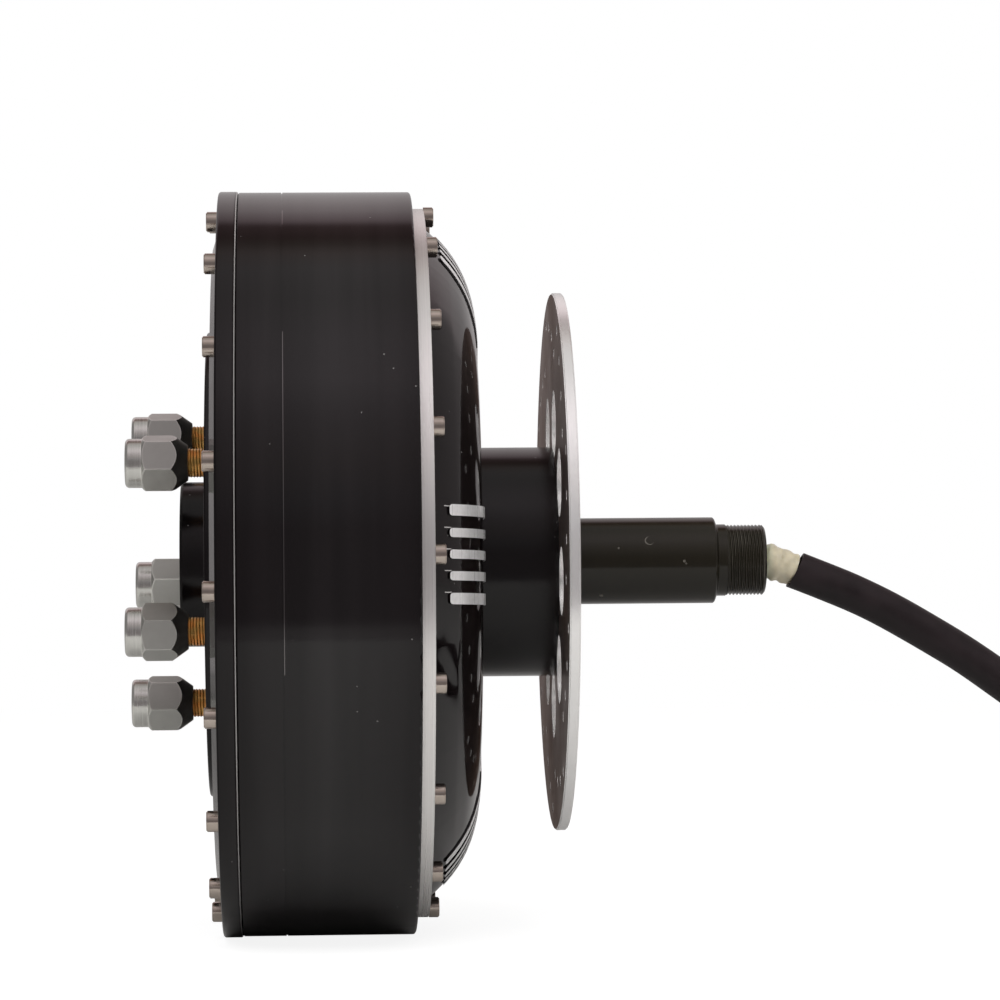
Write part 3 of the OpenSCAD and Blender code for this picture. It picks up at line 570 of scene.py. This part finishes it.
def angle_shading():
    """A modifier's node tree that shades smooth and keeps edges over 28 degrees sharp."""
    name = "shade_by_angle"
    if name in bpy.data.node_groups:
        return bpy.data.node_groups[name]
    tree = bpy.data.node_groups.new(name, "GeometryNodeTree")
    for way in ("INPUT", "OUTPUT"):
        tree.interface.new_socket("Geometry", in_out=way, socket_type="NodeSocketGeometry")
    start, end, smooth, sharp, edge, over = (tree.nodes.new(kind) for kind in (
        "NodeGroupInput", "NodeGroupOutput", "GeometryNodeSetShadeSmooth", "GeometryNodeSetShadeSmooth",
        "GeometryNodeInputMeshEdgeAngle", "FunctionNodeCompare"))
    smooth.domain, sharp.domain = "FACE", "EDGE"
    sharp.inputs["Shade Smooth"].default_value = False
    over.data_type, over.operation = "FLOAT", "GREATER_THAN"
    over.inputs[1].default_value = radians(28)
    for first, second in ((start.outputs[0], smooth.inputs["Geometry"]),
                          (smooth.outputs[0], sharp.inputs["Geometry"]),
                          (edge.outputs["Unsigned Angle"], over.inputs[0]),
                          (over.outputs[0], sharp.inputs["Selection"]), (sharp.outputs[0], end.inputs[0])):
        tree.links.new(first, second)
    return tree


def break_edges(piece, width):
    """Joins a part's faces, breaks its sharp edges and shades it smooth by angle."""
    bpy.context.view_layer.objects.active = piece
    if piece.data.has_custom_normals:
        bpy.ops.mesh.customdata_custom_splitnormals_clear()
    weld = piece.modifiers.new("weld", "WELD")
    weld.merge_threshold = 0.000001
    flat = piece.modifiers.new("join_flat_faces", "DECIMATE")
    flat.decimate_type = "DISSOLVE"
    flat.angle_limit = radians(0.5)
    bevel = piece.modifiers.new("broken_edges", "BEVEL")
    bevel.width = width
    bevel.segments = 2
    bevel.limit_method = "ANGLE"
    bevel.angle_limit = radians(35)
    shading = piece.modifiers.new("shading", "NODES")
    shading.node_group = angle_shading()
    even = piece.modifiers.new("even_normals", "WEIGHTED_NORMAL")
    even.keep_sharp = True


def mesh_piece(name, points, faces, material, body, node, *more):
    """A new piece that rides on a body and hides a part in its place, and more parts if given."""
    mesh = bpy.data.meshes.new(name)
    mesh.from_pydata([tuple(p) for p in points], [], faces)
    mesh.validate()
    mesh.polygons.foreach_set("use_smooth", [True] * len(mesh.polygons))
    mesh.set_sharp_from_angle(angle=radians(34))
    piece = bpy.data.objects.new(name, mesh)
    bpy.context.scene.collection.objects.link(piece)
    mesh.materials.append(material)
    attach(piece, body)
    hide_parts(node, *more)
    return piece


def grid_faces(rows, around):
    """Faces between rings of points, with the ends left open."""
    faces = []
    for i in range(rows - 1):
        a, b = i * around, (i + 1) * around
        for k in range(around):
            n = (k + 1) % around
            faces.append((a + k, b + k, b + n, a + n))
    return faces


def closed_faces(rows, around, inward=False):
    """The same with a flat face on each end; inward where the rings run the other way round."""
    first, last = tuple(range(around)), tuple(range((rows - 1) * around, rows * around))
    ends = [first, last[::-1]] if inward else [first[::-1], last]
    return grid_faces(rows, around) + ends


def rounded(corners):
    """An outline of (station, radius, rounding) corners as points, with each corner rounded."""
    made, steps = [], 4
    for i, (x, r, size) in enumerate(corners):
        here = Vector((x, r))
        before, after = Vector(corners[i - 1][:2]), Vector(corners[(i + 1) % len(corners)][:2])
        if size == 0.0:
            made.append(tuple(here))
            continue
        start = here + (before - here).normalized() * size
        end = here + (after - here).normalized() * size
        for k in range(steps + 1):
            t = k / steps
            made.append(tuple(start.lerp(here, t).lerp(here.lerp(end, t), t)))
    return made


def thread_drop(x, turn, start, pitch, depth):
    """How far the cut thread lies below its crest, at a station and a turn from 0 to 1."""
    phase = ((x - start) / pitch - turn) % 1.0
    flank = abs(phase - 0.5) * 2.0
    return depth * min(1.0, max(0.0, (flank - 0.10) / 0.72))


def turned_rings(outline, around, threads):
    """Rings of points round the X axis for an outline, with threads cut where they are given."""
    points = []
    for x, r in outline:
        for k in range(around):
            radius = r
            for low, high, crest, pitch, depth in threads:
                if low <= x <= high and r > crest - depth:
                    run_out = min(1.0, (x - low) / (pitch * 0.5), (high - x) / (pitch * 0.4) + 0.2)
                    radius = min(r, crest - thread_drop(x, k / around, low, pitch, depth) * max(0.0, run_out))
            angle = 2.0 * pi * k / around
            points.append((x, radius * cos(angle), radius * sin(angle)))
    return points


def stations(low, high, step):
    """Evenly spaced stations from low to high."""
    count = max(1, round((high - low) / step))
    return [low + (high - low) * i / count for i in range(count + 1)]


def smooth_route(corners, step):
    """A smooth curve through given points, as points a step apart."""
    route = []
    for i in range(len(corners) - 1):
        p0, p1 = Vector(corners[max(i - 1, 0)]), Vector(corners[i])
        p2, p3 = Vector(corners[i + 1]), Vector(corners[min(i + 2, len(corners) - 1)])
        count = max(1, round((p2 - p1).length / step))
        for k in range(count):
            t = k / count
            route.append(0.5 * ((2 * p1) + (p2 - p0) * t + (2 * p0 - 5 * p1 + 4 * p2 - p3) * t * t
                                + (3 * p1 - p0 - 3 * p2 + p3) * t * t * t))
    route.append(Vector(corners[-1]))
    return route


def sweep(route, around, radius_at):
    """Rings of points along a route; radius_at gives the radius at a ring, a length and an angle."""
    points, run = [], 0.0
    for i, p in enumerate(route):
        if i:
            run += (p - route[i - 1]).length
        tangent = (route[min(i + 1, len(route) - 1)] - route[max(i - 1, 0)]).normalized()
        side = Vector((0, 0, 1)).cross(tangent).normalized()
        over = tangent.cross(side)
        for k in range(around):
            angle = 2.0 * pi * k / around
            points.append(p + (side * cos(angle) + over * sin(angle)) * radius_at(i, run, angle))
    return points


# The cable's route as in the part's source: distance past the axle's end, y and drop below the axis, in metres
CABLE_POINTS = [
    (0.0138, 0.0, 0.0046), (0.026, 0.0, 0.0094), (0.038, 0.0, 0.0144), (0.050, 0.0, 0.0202),
    (0.062, 0.0, 0.0268), (0.074, 0.0, 0.0340), (0.087, 0.0, 0.0422), (0.102, 0.0, 0.0528),
    (0.120, 0.0, 0.0662), (0.138, 0.0, 0.0796), (0.156, 0.0, 0.0924), (0.176, 0.0, 0.1060),
    (0.200, 0.0, 0.1204), (0.224, 0.0, 0.1322), (0.2436, -0.0022, 0.1396), (0.2621, -0.0088, 0.1452),
    (0.2745, -0.0158, 0.14815), (0.2798, -0.02025, 0.14815),
]
COIL_X = AXLE_END + 0.224
COIL_Y = -0.087
COIL_Z = -0.14815
COIL_START = 40
COIL_INNER = 0.087
COIL_PITCH = 0.0168
TAIL = 0.026


def cable_route():
    """The sleeve's centreline: down from the axle, one and a half turns on the ground and a short tail."""
    lead_in = smooth_route([(AXLE_END + d, y, -drop) for d, y, drop in CABLE_POINTS], 0.004)
    turns = []
    arcs = ((COIL_START + 3, 180, COIL_INNER, 0.0), (180, 360, COIL_INNER + COIL_PITCH / 2, COIL_PITCH / 2),
            (0, 180, COIL_INNER + COIL_PITCH, 0.0))
    for start, end, radius, shift in arcs:
        for angle in range(start, end, 3):
            a = radians(angle)
            turns.append(Vector((COIL_X + radius * sin(a), COIL_Y + shift + radius * cos(a), COIL_Z)))
    end_y = COIL_Y - COIL_INNER - COIL_PITCH
    tail = [Vector((COIL_X - TAIL * t / 6, end_y, COIL_Z)) for t in range(7)]
    return lead_in + turns + tail


def ease(t):
    """A smooth rise from 0 to 1."""
    return t * t * (3 - 2 * t)


LEAD_SPREAD = 0.072
LEAD_DROP = 0.052
LEAD_STEPS = 44


def lead_route(diameter, start_y, start_z, end_y, run):
    """One lead's centreline, from its place in the sleeve's end to where it lies on the ground."""
    sleeve_x, sleeve_y = COIL_X - TAIL - 0.0002, COIL_Y - COIL_INNER - COIL_PITCH
    lying = GROUND + diameter / 2 + 0.0003
    route = []
    for i in range(LEAD_STEPS + 1):
        out = run * i / LEAD_STEPS
        aside, down = ease(min(1.0, out / LEAD_SPREAD)), ease(min(1.0, out / LEAD_DROP))
        route.append(Vector((sleeve_x - out, sleeve_y + start_y + (end_y - start_y) * aside,
                             (COIL_Z + start_z) * (1 - down) + lying * down)))
    return route


class HUBMOTOR_OT_camera(bpy.types.Operator):
    """Puts the camera where the photograph was taken."""
    bl_idname = "hubmotor.camera"
    bl_label = "Camera"

    def execute(self, context):
        studio = settings().studio
        data = bpy.data.cameras.new("camera")
        data.sensor_width = 36.0
        data.lens = studio.focal
        data.clip_start = 0.05
        data.clip_end = 50.0
        camera = bpy.data.objects.new("camera", data)
        context.scene.collection.objects.link(camera)
        ahead = Vector((sin(studio.yaw), cos(studio.yaw), 0.0))
        right = Vector((cos(studio.yaw), -sin(studio.yaw), 0.0))
        forward = ahead * cos(studio.pitch) + Vector((0, 0, sin(studio.pitch)))
        up = Vector((0, 0, cos(studio.pitch))) - ahead * sin(studio.pitch)
        side = right * cos(studio.roll) - up * sin(studio.roll)
        top = right * sin(studio.roll) + up * cos(studio.roll)
        turn = Matrix((side, top, -forward)).transposed()
        camera.matrix_world = Matrix.Translation(studio.place) @ turn.to_4x4()
        context.scene.camera = camera
        return {"FINISHED"}


class HUBMOTOR_OT_cable(bpy.types.Operator):
    """Lays the sleeved supply cable."""
    bl_idname = "hubmotor.cable"
    bl_label = "Cable sleeve"

    def execute(self, context):
        cable = settings().cable
        radius, around = cable.diameter / 2, 28
        route = cable_route()

        def radius_at(ring, run, angle):
            lobe = cos(3 * (angle - run * 14.0)) * 0.5 + 0.5
            point = Vector((run * 45.0, cos(angle), sin(angle)))
            lump = noise.noise(point) * 0.00012
            return radius - 0.0009 * cable.lobes * (1 - lobe) + lump - 0.00006

        points = sweep(route, around, radius_at)
        ahead = (route[1] - route[0]).normalized()
        for k in range(around):
            points[k] = points[k] + ahead * (0.0010 * sin(2.0 * pi * k / around) - 0.0003)
        faces = grid_faces(len(route), around)
        for end, inward in ((0, 1), (len(route) - 1, -1)):
            base = end * around
            centre = route[end]
            deeper = route[end + inward]
            first = len(points)
            for depth in (centre, deeper):
                for k in range(around):
                    spoke = (points[base + k] - centre)
                    points.append(depth + spoke * (1 - cable.wall / radius))
            for k in range(around):
                n = (k + 1) % around
                rim = (base + k, first + k, first + n, base + n)
                wall = (first + k, first + around + k, first + around + n, first + n)
                faces += [rim, wall] if inward == -1 else [rim[::-1], wall[::-1]]
            cap = tuple(first + around + k for k in range(around))
            faces.append(cap if inward == -1 else cap[::-1])
        rubber = rubber_finish("rubber_sleeve", settings().colours.sleeve, 0.42, 0.58)
        sleeve = mesh_piece("cable_sleeve", points, faces, rubber, "axle", "cable", "cable_coil", "cable_tail")
        dress_nodes("coil_tie", moulded("black_nylon", (0.012, 0.012, 0.012), 0.4), 0.0003)
        return {"FINISHED"}


class HUBMOTOR_OT_leads(bpy.types.Operator):
    """Lays the three phase leads and the signal lead out of the sleeve."""
    bl_idname = "hubmotor.leads"
    bl_label = "Leads"

    def execute(self, context):
        thick = settings().cable.lead
        rows = (("phase_lead_a", thick, -0.0031, 0.0031, -0.024, 0.088, (0.42, 0.012, 0.010)),
                ("phase_lead_b", thick, -0.0031, -0.0031, -0.006, 0.088, (0.012, 0.040, 0.22)),
                ("phase_lead_c", thick, 0.0031, 0.0031, 0.012, 0.088, (0.012, 0.13, 0.025)),
                ("signal_lead", thick - 0.0006, 0.0031, -0.0031, 0.028, 0.080, (0.010, 0.010, 0.010)))
        for node, diameter, start_y, start_z, end_y, run, tint in rows:
            route = lead_route(diameter, start_y, start_z, end_y, run)
            points = sweep(route, 16, lambda *place: diameter / 2)
            faces = closed_faces(len(route), 16)
            rubber = rubber_finish(node + "_insulation", tint, 0.30, 0.42)
            piece = mesh_piece(node + "_insulated", points, faces, rubber, "axle", node)
        dress_nodes("lead_lugs", plain_metal("tinned_copper", (0.62, 0.58, 0.52), 0.32), 0.0002)
        dress_nodes("signal_connector", moulded("connector_nylon", (0.72, 0.71, 0.66), 0.4), 0.0003)
        return {"FINISHED"}


class HUBMOTOR_OT_axle(bpy.types.Operator):
    """Turns the axle with its relief and its cut thread."""
    bl_idname = "hubmotor.axle"
    bl_label = "Axle"

    def execute(self, context):
        threads = settings().threads
        low, high, crest = THREAD_START, AXLE_END, 0.0150
        shoulder, neck, root = low - 0.0046, 0.0153, 0.0144
        collar, race = (SHELL_LEFT + SHELL_RIGHT) / 2 + 0.0395, DISC_BACK - 0.0310
        hub = SHELL_LEFT + 0.0200
        outline = rounded([
            (AXLE_START, 0.014, 0.0004), (AXLE_START + 0.001, 0.01495, 0.0002), (hub, 0.01495, 0.0),
            (hub, 0.022, 0.0004), (collar, 0.022, 0.0004), (collar, 0.026, 0.0005), (race, 0.026, 0.0005),
            (race, 0.020, 0.0), (DISC_FACE, 0.020, 0.0003), (DISC_FACE, 0.01835, 0.0002),
            (shoulder - 0.0008, 0.01835, 0.0003), (shoulder - 0.0002, 0.01774, 0.0002),
            (shoulder + 0.0003, 0.01637, 0.0002), (shoulder + 0.0007, neck, 0.0003), (low, neck, 0.0002),
            (low + 0.0001, root, 0.0)])
        start, end = low + 0.0002, high - 0.0010
        outline += [(x, min(crest, root + (x - low) * 1.5)) for x in stations(start, end, threads.axle_pitch / 10)]
        outline += rounded([(high - 0.0009, crest - 0.0001, 0.0), (high, crest - 0.0011, 0.0002),
                            (high, 0.0080, 0.0003), (-0.0920, 0.0080, 0.0)])
        around = threads.turns_of
        points = turned_rings(outline, around, [(start, end, crest, threads.axle_pitch, threads.axle_depth)])
        faces = closed_faces(len(outline), around, inward=True)
        mesh_piece("axle_turned", points, faces, axle_finish(), "axle", "axle")
        return {"FINISHED"}


class HUBMOTOR_OT_sealant(bpy.types.Operator):
    """Casts the lumpy sealing compound between the axle's bore and the sleeve."""
    bl_idname = "hubmotor.sealant"
    bl_label = "Sealant"

    def execute(self, context):
        d, y, drop = CABLE_POINTS[0]
        lean = Vector((d, y, -drop))
        outline = ((-0.0020, 0.0055), (0.0008, 0.0076), (0.0030, 0.0073), (0.0055, 0.0074), (0.0080, 0.0070),
                   (0.0105, 0.0069), (lean.length - 0.0003, 0.0066))
        around, rows = 40, []
        for (x0, r0), (x1, r1) in zip(outline, outline[1:]):
            rows += [(x0 + (x1 - x0) * t / 5, r0 + (r1 - r0) * t / 5) for t in range(5)]
        rows.append(outline[-1])

        def radius_at(ring, run, angle):
            x, r = rows[ring]
            spot = Vector((x * 420.0, cos(angle) * 1.6, sin(angle) * 1.6))
            return r + noise.noise(spot) * 0.0007 * (1.0 if x > 0 else 0.2)

        along = lean.normalized()
        points = sweep([Vector((AXLE_END, 0.0, 0.0)) + along * x for x, r in rows], around, radius_at)
        faces = closed_faces(len(rows), around)
        mesh_piece("sealant_cast", points, faces, sealant_finish(), "axle", "cable_seal")
        return {"FINISHED"}


class HUBMOTOR_OT_studs(bpy.types.Operator):
    """Cuts the five wheel studs with their thread."""
    bl_idname = "hubmotor.studs"
    bl_label = "Wheel studs"

    def execute(self, context):
        threads = settings().threads
        lo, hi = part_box("wheel_studs")
        low, high, nut_end = lo.x, SEAT_FACE, SEAT_FACE - 0.0073
        crest, engaged, knurl, head, head_start = 0.0060, 0.0055, 0.00645, 0.0076, hi.x - 0.0018
        outline = [(low, 0.0001), (low, 0.0048), (low + 0.0008, 0.0054)]
        outline += [(x, engaged if x < nut_end else crest)
                    for x in stations(low + 0.0008, high, threads.stud_pitch / 8)]
        outline += rounded([(high, knurl, 0.0), (head_start, knurl, 0.0), (head_start, head, 0.0003),
                            (hi.x, head, 0.0003), (hi.x, 0.0001, 0.0)])
        around = 48
        cut = [(nut_end, high, crest, threads.stud_pitch, threads.stud_depth)]
        one = turned_rings(outline, around, cut)
        faces = grid_faces(len(outline), around)
        points, all_faces = [], []
        for i in range(5):
            angle = pi + radians(STUD_TURN + 72 * i)
            place = Matrix.Rotation(angle, 4, "X") @ Matrix.Translation((0, STUD_CIRCLE_RADIUS, 0))
            all_faces += [tuple(v + len(points) for v in face) for face in faces]
            points += [place @ Vector(p) for p in one]
        mesh_piece("wheel_studs_threaded", points, all_faces, zinc_finish(), "rotor", "wheel_studs")
        return {"FINISHED"}


class HUBMOTOR_OT_shell(bpy.types.Operator):
    """Coats the rotor shell and the outer cover."""
    bl_idname = "hubmotor.shell"
    bl_label = "Shell and outer cover"

    def execute(self, context):
        dress_nodes("rotor_shell outer_cover", black_coat(), settings().edges.cast)
        return {"FINISHED"}


class HUBMOTOR_OT_inner_cover(bpy.types.Operator):
    """Coats the inner cover and leaves its rim and fin tops bare."""
    bl_idname = "hubmotor.inner_cover"
    bl_label = "Inner cover"

    def execute(self, context):
        dress_nodes("inner_cover", inner_cover_finish(), settings().edges.cast)
        return {"FINISHED"}


class HUBMOTOR_OT_disc(bpy.types.Operator):
    """Grinds the brake disc."""
    bl_idname = "hubmotor.disc"
    bl_label = "Brake disc"

    def execute(self, context):
        dress_nodes("brake_disc", disc_finish(), settings().edges.cast)
        return {"FINISHED"}


class HUBMOTOR_OT_fasteners(bpy.types.Operator):
    """Plates the screws and the lug nuts."""
    bl_idname = "hubmotor.fasteners"
    bl_label = "Screws and nuts"

    def execute(self, context):
        small = settings().edges.small
        dress_nodes("outer_cover_screws inner_cover_screws disc_screws", plated_screws(), small)
        dress_nodes("lug_nuts", nickel_nuts(), small)
        return {"FINISHED"}


class HUBMOTOR_OT_inner_parts(bpy.types.Operator):
    """Finishes the parts inside the motor."""
    bl_idname = "hubmotor.inner_parts"
    bl_label = "Parts inside"

    def execute(self, context):
        races = " ".join(f"{side}_bearing_{part}" for part in ("outer_race", "inner_race", "balls")
                         for side in ("outer", "inner"))
        for names, material in (
                (races, plain_metal("bearing_steel", (0.56, 0.57, 0.58), 0.16)),
                ("axle_circlip carrier_circlip bearing_retaining_ring",
                 plain_metal("spring_steel", (0.14, 0.14, 0.15), 0.36)),
                ("carrier_key", plain_metal("key_steel", (0.40, 0.41, 0.42), 0.3)),
                ("axle_seal", moulded("seal_rubber", (0.012, 0.012, 0.013), 0.5)),
                ("back_iron_ring", plain_metal("yoke_steel", (0.22, 0.22, 0.24), 0.42)),
                ("rotor_magnets", plain_metal("plated_magnets", (0.48, 0.48, 0.50), 0.28)),
                ("stator_core", lamination_finish()),
                ("stator_windings", winding_finish()),
                ("stator_carrier", plain_metal("machined_aluminium", settings().colours.cast_grey, 0.34)),
                ("hall_sensor_board", moulded("green_board", (0.012, 0.075, 0.030), 0.35)),
                ("board_spacers", moulded("nylon_spacers", (0.62, 0.60, 0.52), 0.4)),
                ("inner_leads", rubber_finish("bundle_sleeve", (0.012, 0.012, 0.012), 0.4, 0.55))):
            finish_nodes(names, material)
        return {"FINISHED"}


# What a mirror-like surface sees round the motor: angle up from the camera's side in degrees, and colour
ROOM_BANDS = (
    (-180, (0.51, 0.48, 0.48)), (-20, (0.51, 0.48, 0.48)), (-18, (0.22, 0.20, 0.205)), (10, (0.22, 0.20, 0.205)),
    (19, (0.30, 0.285, 0.295)), (31, (0.40, 0.36, 0.36)), (44, (0.505, 0.46, 0.475)), (57, (0.71, 0.65, 0.67)),
    (71, (0.665, 0.615, 0.63)), (87, (0.50, 0.48, 0.475)), (101, (0.45, 0.43, 0.425)), (109, (0.38, 0.32, 0.30)),
    (114, (0.19, 0.15, 0.13)), (118, (0.13, 0.085, 0.075)), (126, (0.17, 0.11, 0.11)), (130, (0.54, 0.42, 0.44)),
    (138, (0.69, 0.59, 0.60)), (148, (0.66, 0.585, 0.59)), (163, (0.51, 0.48, 0.48)), (180, (0.51, 0.48, 0.48)))
LEFT_WALL = (0.24, 0.23, 0.23)
RIGHT_WALL = (0.36, 0.33, 0.33)
WHITE = (1.0, 1.0, 1.0, 1.0)
DRUM_MIDDLE = (-0.08, 0.0, 0.0)


class HUBMOTOR_OT_studio(bpy.types.Operator):
    """Builds the pale floor, the room and the lamps."""
    bl_idname = "hubmotor.studio"
    bl_label = "Studio"

    def room(self):
        """White for the camera, an even light for matt surfaces and a photo room for shiny ones."""
        world = bpy.data.worlds.new("room")
        bpy.context.scene.world = world
        world.use_nodes = True
        world.node_tree.nodes.clear()
        room = Nodes(world.node_tree)
        x, y, z = room.split(room.add("TexCoord").outputs["Generated"])
        angle = room.math("ARCTAN2", z, room.math("MULTIPLY", y, -1.0))
        ramp = room.add("ValToRGB")
        room.set(ramp.inputs[0], room.span(angle, -pi, pi, 0.0, 1.0))
        stops = ramp.color_ramp.elements
        for i, (degrees_up, tint) in enumerate(ROOM_BANDS):
            at = degrees_up / 360 + 0.5
            stop = stops[i] if i < 2 else stops.new(at)
            stop.position = at
            stop.color = tint + (1.0,)
        sideways = room.either(x, room.math("MULTIPLY", x, -1.2))
        fade = room.span(sideways, 0.61, 0.68, 0.0, 1.0, interpolation_type="SMOOTHSTEP")
        walls = room.mix(room.above(x, 0.5), LEFT_WALL, RIGHT_WALL)
        shiny = room.fed("Background", room.mix(fade, ramp.outputs[0], walls), 1.0)
        strength = settings().studio.room
        light = room.span(z, -0.2, 0.9, 0.45 * strength, 1.35 * strength)
        even = room.fed("Background", (1.0, 0.99, 0.98, 1.0), light)
        white = room.fed("Background", WHITE, 1.0)
        rays = room.add("LightPath").outputs
        lit = room.fed("MixShader", rays["Is Glossy Ray"], even, shiny)
        seen = room.either(rays["Is Camera Ray"], rays["Is Transmission Ray"])
        room.set(room.add("OutputWorld").inputs[0], room.fed("MixShader", seen, lit, white))

    def floor(self):
        """A pale table that keeps the motor's soft shadow; its front edge lies 0.45 m before the axis."""
        mesh = bpy.data.meshes.new("floor")
        front, back, left, right = -0.45, 3.0, -1.8, 2.0
        corners = ((left, front), (right, front), (right, back), (left, back))
        mesh.from_pydata([(x, y, GROUND) for x, y in corners], [], [(0, 1, 2, 3)])
        table = bpy.data.objects.new("floor", mesh)
        bpy.context.scene.collection.objects.link(table)
        paper = Finish("table_paper", (0.77, 0.77, 0.77), 0.0, 0.7)
        rays = paper.add("LightPath").outputs
        pale = paper.mix(paper.noise(900.0, 3.0), (0.76, 0.76, 0.76), (0.78, 0.78, 0.78))
        # Painted shade: the table is darker where it is seen in reflections than where it is seen directly or where
        # it lights the motor.
        paper.give("Base Color", paper.mix(rays["Is Glossy Ray"], pale, (0.50, 0.49, 0.48)))
        seen = paper.math("MULTIPLY", rays["Is Camera Ray"], 0.72)
        glow = paper.fed("Emission", WHITE, 1.22)
        paper.set(paper.tree.nodes["Material Output"].inputs[0],
                  paper.fed("MixShader", seen, paper.shader.outputs[0], glow))
        mesh.materials.append(paper.material)

    def lamp(self, name, place, size, power):
        """One soft lamp that shines on the drum and isn't mirrored in it."""
        data = bpy.data.lights.new(name, "AREA")
        data.shape = "RECTANGLE"
        data.size, data.size_y = size
        data.energy = power
        lamp = bpy.data.objects.new(name, data)
        bpy.context.scene.collection.objects.link(lamp)
        lamp.location = place
        lamp.rotation_mode = "QUATERNION"
        lamp.rotation_quaternion = (Vector(DRUM_MIDDLE) - Vector(place)).to_track_quat("-Z", "Y")
        lamp.visible_glossy = False
        lamp.visible_camera = False

    def execute(self, context):
        self.room()
        self.floor()
        power = settings().studio.lamp
        self.lamp("overhead", (-0.1, -1.00, 1.15), (1.3, 1.0), power)
        self.lamp("left_front", (-1.25, -0.85, 1.00), (0.8, 0.9), power * 0.3)
        self.lamp("right_front", (1.10, -1.00, 1.00), (0.8, 0.9), power * 0.3)
        context.scene.view_settings.view_transform = "Standard"
        return {"FINISHED"}


STEPS = (HUBMOTOR_OT_camera, HUBMOTOR_OT_cable, HUBMOTOR_OT_leads, HUBMOTOR_OT_axle, HUBMOTOR_OT_sealant,
         HUBMOTOR_OT_studs, HUBMOTOR_OT_shell, HUBMOTOR_OT_inner_cover, HUBMOTOR_OT_disc,
         HUBMOTOR_OT_fasteners, HUBMOTOR_OT_inner_parts, HUBMOTOR_OT_studio)


class HUBMOTOR_PT_panel(bpy.types.Panel):
    """Lists the steps in the 3D view's sidebar."""
    bl_idname = "HUBMOTOR_PT_panel"
    bl_label = "Hub motor"
    bl_space_type = "VIEW_3D"
    bl_region_type = "UI"
    bl_category = "Hub motor"

    def draw(self, context):
        for step in STEPS:
            self.layout.operator(step.bl_idname)


GROUPS = (ColourSettings, ThreadSettings, CableSettings, EdgeSettings, StudioSettings, HubMotorSettings)
CLASSES = GROUPS + STEPS + (HUBMOTOR_PT_panel,)


def register():
    """Registers the settings, the steps and the panel."""
    for entry in CLASSES:
        bpy.utils.register_class(entry)
    bpy.types.Scene.hub_motor = PointerProperty(type=HubMotorSettings)


def unregister():
    """Takes them away again."""
    del bpy.types.Scene.hub_motor
    for entry in reversed(CLASSES):
        bpy.utils.unregister_class(entry)


def main():
    """Runs every step in order."""
    register()
    for step in STEPS:
        group, label = step.bl_idname.split(".")
        getattr(getattr(bpy.ops, group), label)()
    bpy.context.view_layer.update()


if __name__ == "__main__":
    main()
